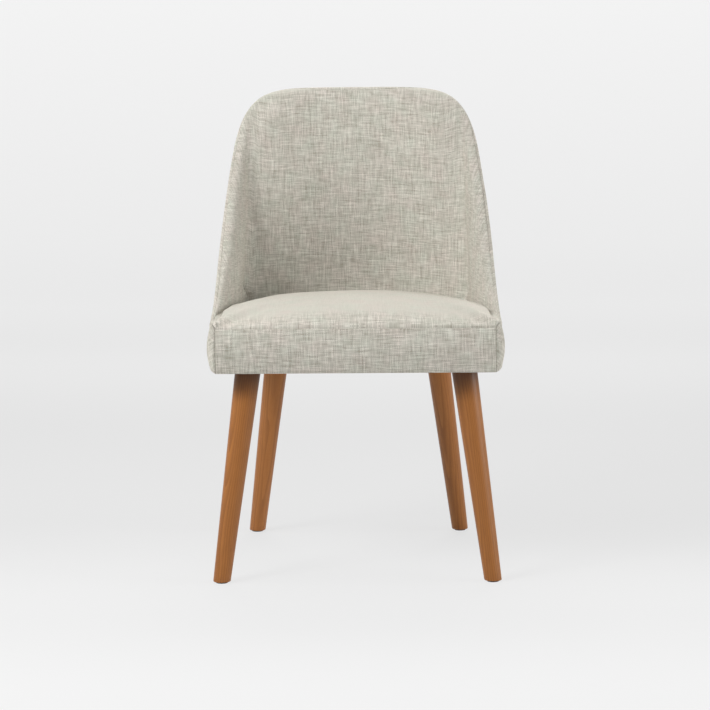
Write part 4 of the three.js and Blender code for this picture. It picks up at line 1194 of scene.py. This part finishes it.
class CHAIR_OT_legs(bpy.types.Operator):
    """Turns the four tapered legs, each leaning from its bolt to its glide"""

    bl_idname = "chair.legs"
    bl_label = "Legs"

    sides: bpy.props.IntProperty(name="Sides", description="Facets round a leg", default=64)

    def execute(self, context):
        wood = context.scene.chair_wood
        for number, end in enumerate(("front_left", "front_right", "rear_left", "rear_right")):
            low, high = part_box(f"leg_{end}")
            foot = sum(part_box(f"foot_glide_{end}"), Vector()) / 2
            top = sum(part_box(f"hanger_bolt_{end}"), Vector()) / 2
            foot.z, top.z = low.z, high.z
            along = Vector((top.x - foot.x, top.y - foot.y, 0)).normalized()
            across = Vector((-along.y, along.x, 0))
            stretch = (top - foot).length / (top.z - foot.z)
            heights = []
            for turn in spread(0, math.pi / 2, 5):
                heights.append((low.z + FOOT_EASE * (1 - math.cos(turn)), FOOT_EASE * (1 - math.sin(turn))))
            heights += [(z, 0.0) for z in spread(low.z + FOOT_EASE, high.z, 24)[1:]]
            rings = []
            places = []
            # Each leg is turned from another part of the plank, beside the pith.
            offset = PLANK_START + PLANK_STEP * number
            for z, ease in heights:
                share = (z - foot.z) / (top.z - foot.z)
                r = mix(LEG_FOOT_DIAMETER, LEG_TOP_DIAMETER, share) / 2 - ease
                middle = foot.lerp(top, share)
                rings.append([])
                for i in range(self.sides):
                    turn = i / self.sides * 2 * math.pi
                    ahead, aside = r * math.cos(turn), r * math.sin(turn)
                    rings[-1].append(middle + along * ahead * stretch + across * aside)
                    places.append(offset + Vector((ahead, aside, z)))
            mesh = make_mesh(f"leg_{end}_turned", joined(rings), loft(rings), "grain_place", places)
            add_piece(mesh, stained_walnut(wood), [f"leg_{end}"])
        return {"FINISHED"}


class CHAIR_OT_underside(bpy.types.Operator):
    """Staples the black lining under the frame"""

    bl_idname = "chair.underside"
    bl_label = "Underside"

    sag: bpy.props.FloatProperty(
        name="Sag", description="How far the lining hangs in its middle", default=0.004, unit="LENGTH"
    )

    def execute(self, context):
        low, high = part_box("dust_cover")
        inset = TURN_UNDER + GAP
        around = [scoop_point(s, inset, high.z) for s in scoop_stations(WING_END) if abs(s) <= LINING_END]
        corner = Vector((HALF_WIDTH - inset, low.y, high.z))
        front = [Vector((x, low.y, high.z)) for x in spread(corner.x, -corner.x, 40)]
        outline = around + front
        middle = Vector((0, (low.y + high.y) / 2, high.z))
        thickness = high.z - low.z
        rings = []
        shares = spread(1, LINING_MIDDLE, 20)
        for side, order in ((0.0, reversed(shares)), (thickness, shares)):
            for share in order:
                ring = []
                for p in outline:
                    at = middle.lerp(p, share)
                    hang = self.sag * (1 - share**2) + waves(at, LINING_RIPPLE, LINING_WAVES) * (1 - share)
                    at.z = high.z - side - hang
                    ring.append(at)
                rings.append(ring)
        lining = streaked("black_nonwoven_lining", "#2B2B2C", "#141415", 0.0016, 0.0016, 0.9, relief=0.0002)
        mesh = make_mesh("dust_cover_lining", joined(rings), loft(rings))
        piece = add_piece(mesh, lining, ["dust_cover"])
        self.staples(outline, middle, low.z)
        return {"FINISHED"}

    def staples(self, outline, middle, height):
        """Flat-crowned staples round the lining's edge"""
        crown, wire, spacing, inward = 0.010, 0.0009, 0.032, 0.009
        points = []
        faces = []
        gone = 0.0
        for a, b in zip(outline, outline[1:] + outline[:1]):
            gone += (b - a).length
            if gone < spacing:
                continue
            gone = 0.0
            way = (b - a).normalized()
            at = b + (middle - b).normalized() * inward
            aside = Vector((-way.y, way.x, 0))
            start = len(points)
            for along in (-crown / 2, crown / 2):
                for across, down in ((-1, 0.2), (1, 0.2), (0.7, 1), (-0.7, 1)):
                    corner = at + way * along + aside * across * wire / 2
                    corner.z = height + wire * (0.2 - down)
                    points.append(corner)
            faces.append((start, start + 1, start + 2, start + 3))
            faces.append((start + 4, start + 7, start + 6, start + 5))
            for i in range(4):
                j = (i + 1) % 4
                faces.append((start + i, start + 4 + i, start + 4 + j, start + j))
        mesh = make_mesh("lining_staples", points, faces)
        add_piece(mesh, frame_finishes()["zinc_steel"])


class CHAIR_OT_frame_finishes(bpy.types.Operator):
    """Gives the rails, blocks, shell, straps and fasteners their finishes"""

    bl_idname = "chair.frame_finishes"
    bl_label = "Frame finishes"

    def execute(self, context):
        finishes = frame_finishes()
        for subpart in frame["record"]["subparts"]:
            finish = finishes.get(subpart["material_slot"])
            node = frame["nodes"][subpart["node"]]
            if finish is None:
                continue
            node.data.materials.clear()
            node.data.materials.append(finish)
        return {"FINISHED"}


class CHAIR_OT_stage(bpy.types.Operator):
    """Sets the pale floor, the soft lights and the camera"""

    bl_idname = "chair.stage"
    bl_label = "Stage"

    def painted_light_and_shade(self, add):
        """Painted light and shade on the studio: a painted shade darkest behind the chair, painted lighter to
        the front, the back and up the wall.
        """
        position = add("NewGeometry")
        split = add("SeparateXYZ", {0: position.outputs["Position"]})
        color = linear(FLOOR_PAINTED_LIGHT_GREYS[0][1])
        for (start, first), (end, last) in zip(FLOOR_PAINTED_LIGHT_GREYS, FLOOR_PAINTED_LIGHT_GREYS[1:]):
            share = add(
                "MapRange",
                {"Value": split.outputs["Y"], "From Min": start, "From Max": end},
                interpolation_type="SMOOTHSTEP",
            )
            inputs = {"Factor": share, "A": color, "B": linear(last)}
            color = add("Mix", inputs, data_type="RGBA").outputs[2]
        up = add("MapRange", {"Value": split.outputs["Z"], "From Max": WALL_RISE})
        inputs = {"Factor": up, "A": color, "B": linear(WALL_GREY)}
        return add("Mix", inputs, data_type="RGBA").outputs[2]

    def studio_material(self, stage):
        material, tree, add = new_material("pale_studio_paper")[:3]
        tree.nodes.clear()
        diffuse = add("BsdfDiffuse", {"Color": stage.floor_color})
        shown = add("Emission", {"Color": self.painted_light_and_shade(add), "Strength": 1.0})
        seen = self.seen_share(add, PAPER_SHOWN_SHARE)
        mixed = add("MixShader", {0: seen, 1: diffuse, 2: shown})
        add("OutputMaterial", {"Surface": mixed})
        return material

    def studio(self, stage):
        """A round floor that curves up into a wall, well beyond any camera."""
        profile = [(FLOOR_RADIUS, 0.0)]
        for degrees in spread(0, 90, 12)[1:]:
            angle = math.radians(degrees)
            across, rise = WALL_CURVE * math.sin(angle), WALL_CURVE * (1 - math.cos(angle))
            profile.append((FLOOR_RADIUS + across, rise))
        profile.append((FLOOR_RADIUS + WALL_CURVE, WALL_HEIGHT))
        points = [(0.0, 0.0, 0.0)]
        faces = []
        for ring, (radius, z) in enumerate(profile):
            first = len(points)
            for i in range(WALL_SIDES):
                turn = 2 * math.pi * i / WALL_SIDES
                points.append((radius * math.cos(turn), radius * math.sin(turn), z))
                j = (i + 1) % WALL_SIDES
                if ring == 0:
                    faces.append((0, first + i, first + j))
                else:
                    before = first - WALL_SIDES
                    faces.append((before + i, first + i, first + j, before + j))
        mesh = bpy.data.meshes.new("studio_paper")
        mesh.from_pydata(points, [], faces)
        mesh.shade_smooth()
        mesh.materials.append(self.studio_material(stage))
        linked("studio_paper", mesh)

    def seen_share(self, add, share):
        """A share for rays that come from the camera, from a gloss or through glass."""
        path = add("LightPath")
        rays = [path.outputs[f"Is {kind} Ray"] for kind in ("Camera", "Glossy", "Transmission")]
        first = add("Math", {0: rays[0], 1: rays[1]}, operation="MAXIMUM")
        seen = add("Math", {0: first, 1: rays[2]}, operation="MAXIMUM")
        return add("Math", {0: seen, 1: share}, operation="MULTIPLY")

    def light(self, name, place, size, power):
        data = bpy.data.lights.new(name, "AREA")
        data.shape = "RECTANGLE"
        data.size, data.size_y = size
        data.energy = power
        lamp = linked(name, data)
        lamp.location = place
        lamp.rotation_euler = (Vector(STAGE_AIM) - Vector(place)).to_track_quat("-Z", "Y").to_euler()

    def execute(self, context):
        scene = context.scene
        stage = scene.chair_stage
        self.studio(stage)
        world = bpy.data.worlds.new("studio")
        scene.world = world
        world.use_nodes = True
        world.node_tree.nodes.clear()
        add = partial(add_node, world.node_tree)
        ambient = add("Background", {"Color": linear("#FBFCFF"), "Strength": stage.ambient})
        shown = add("Background", {"Color": linear("#F3F3F3"), "Strength": 1.0})
        mixed = add("MixShader", {0: self.seen_share(add, 1.0), 1: ambient, 2: shown})
        add("OutputWorld", {"Surface": mixed})
        self.light("front_softbox", (-1.8, -1.8, 2.4), (1.0, 1.0), stage.front_power)
        self.light("top_softbox", (-0.3, -0.5, 3.0), (2.0, 2.0), stage.top_power)
        self.light("back_softbox", (0.0, 2.2, 2.6), (2.0, 1.4), stage.back_power)
        self.light("left_softbox", (-2.6, -0.6, 2.4), (1.6, 1.6), stage.left_power)
        self.light("right_softbox", (3.0, -0.8, 1.2), (1.6, 1.6), stage.right_power)
        camera = linked("camera", bpy.data.cameras.new("camera"))
        camera.data.lens = CAMERA_LENS
        camera.data.clip_end = 100
        turns = [Matrix.Rotation(math.radians(CAMERA_YAW), 4, "Z")]
        turns.append(Matrix.Rotation(math.radians(90 - CAMERA_PITCH), 4, "X"))
        turns.append(Matrix.Rotation(math.radians(CAMERA_ROLL), 4, "Z"))
        camera.matrix_world = Matrix.Translation(CAMERA_PLACE) @ turns[0] @ turns[1] @ turns[2]
        scene.camera = camera
        scene.view_settings.view_transform = "Standard"
        return {"FINISHED"}


class CHAIR_PT_panel(bpy.types.Panel):
    """The chair's steps and settings"""

    bl_idname = "CHAIR_PT_panel"
    bl_label = "Dining Chair"
    bl_space_type = "VIEW_3D"
    bl_region_type = "UI"
    bl_category = "Chair"

    def draw(self, context):
        for step in STEPS:
            self.layout.operator(step.bl_idname)
        for name, group in SETTINGS.items():
            settings = getattr(context.scene, name)
            box = self.layout.box()
            for field in group.__annotations__:
                box.prop(settings, field)


SETTINGS = {"chair_cloth": ChairCloth, "chair_wood": ChairWood, "chair_stage": ChairStage}
STEPS = (
    CHAIR_OT_stage,
    CHAIR_OT_outer_cover,
    CHAIR_OT_inside_back,
    CHAIR_OT_seat_cushion,
    CHAIR_OT_front_panel,
    CHAIR_OT_legs,
    CHAIR_OT_underside,
    CHAIR_OT_frame_finishes,
)
CLASSES = (*SETTINGS.values(), *STEPS, CHAIR_PT_panel)


def register():
    for made in CLASSES:
        bpy.utils.register_class(made)
    for name, group in SETTINGS.items():
        setattr(bpy.types.Scene, name, bpy.props.PointerProperty(type=group))


def unregister():
    for name in SETTINGS:
        delattr(bpy.types.Scene, name)
    for made in reversed(CLASSES):
        bpy.utils.unregister_class(made)


def main():
    register()
    bpy.ops.chair.stage()
    bpy.ops.chair.outer_cover()
    bpy.ops.chair.inside_back()
    bpy.ops.chair.seat_cushion()
    bpy.ops.chair.front_panel()
    bpy.ops.chair.legs()
    bpy.ops.chair.underside()
    bpy.ops.chair.frame_finishes()


if __name__ == "__main__":
    main()
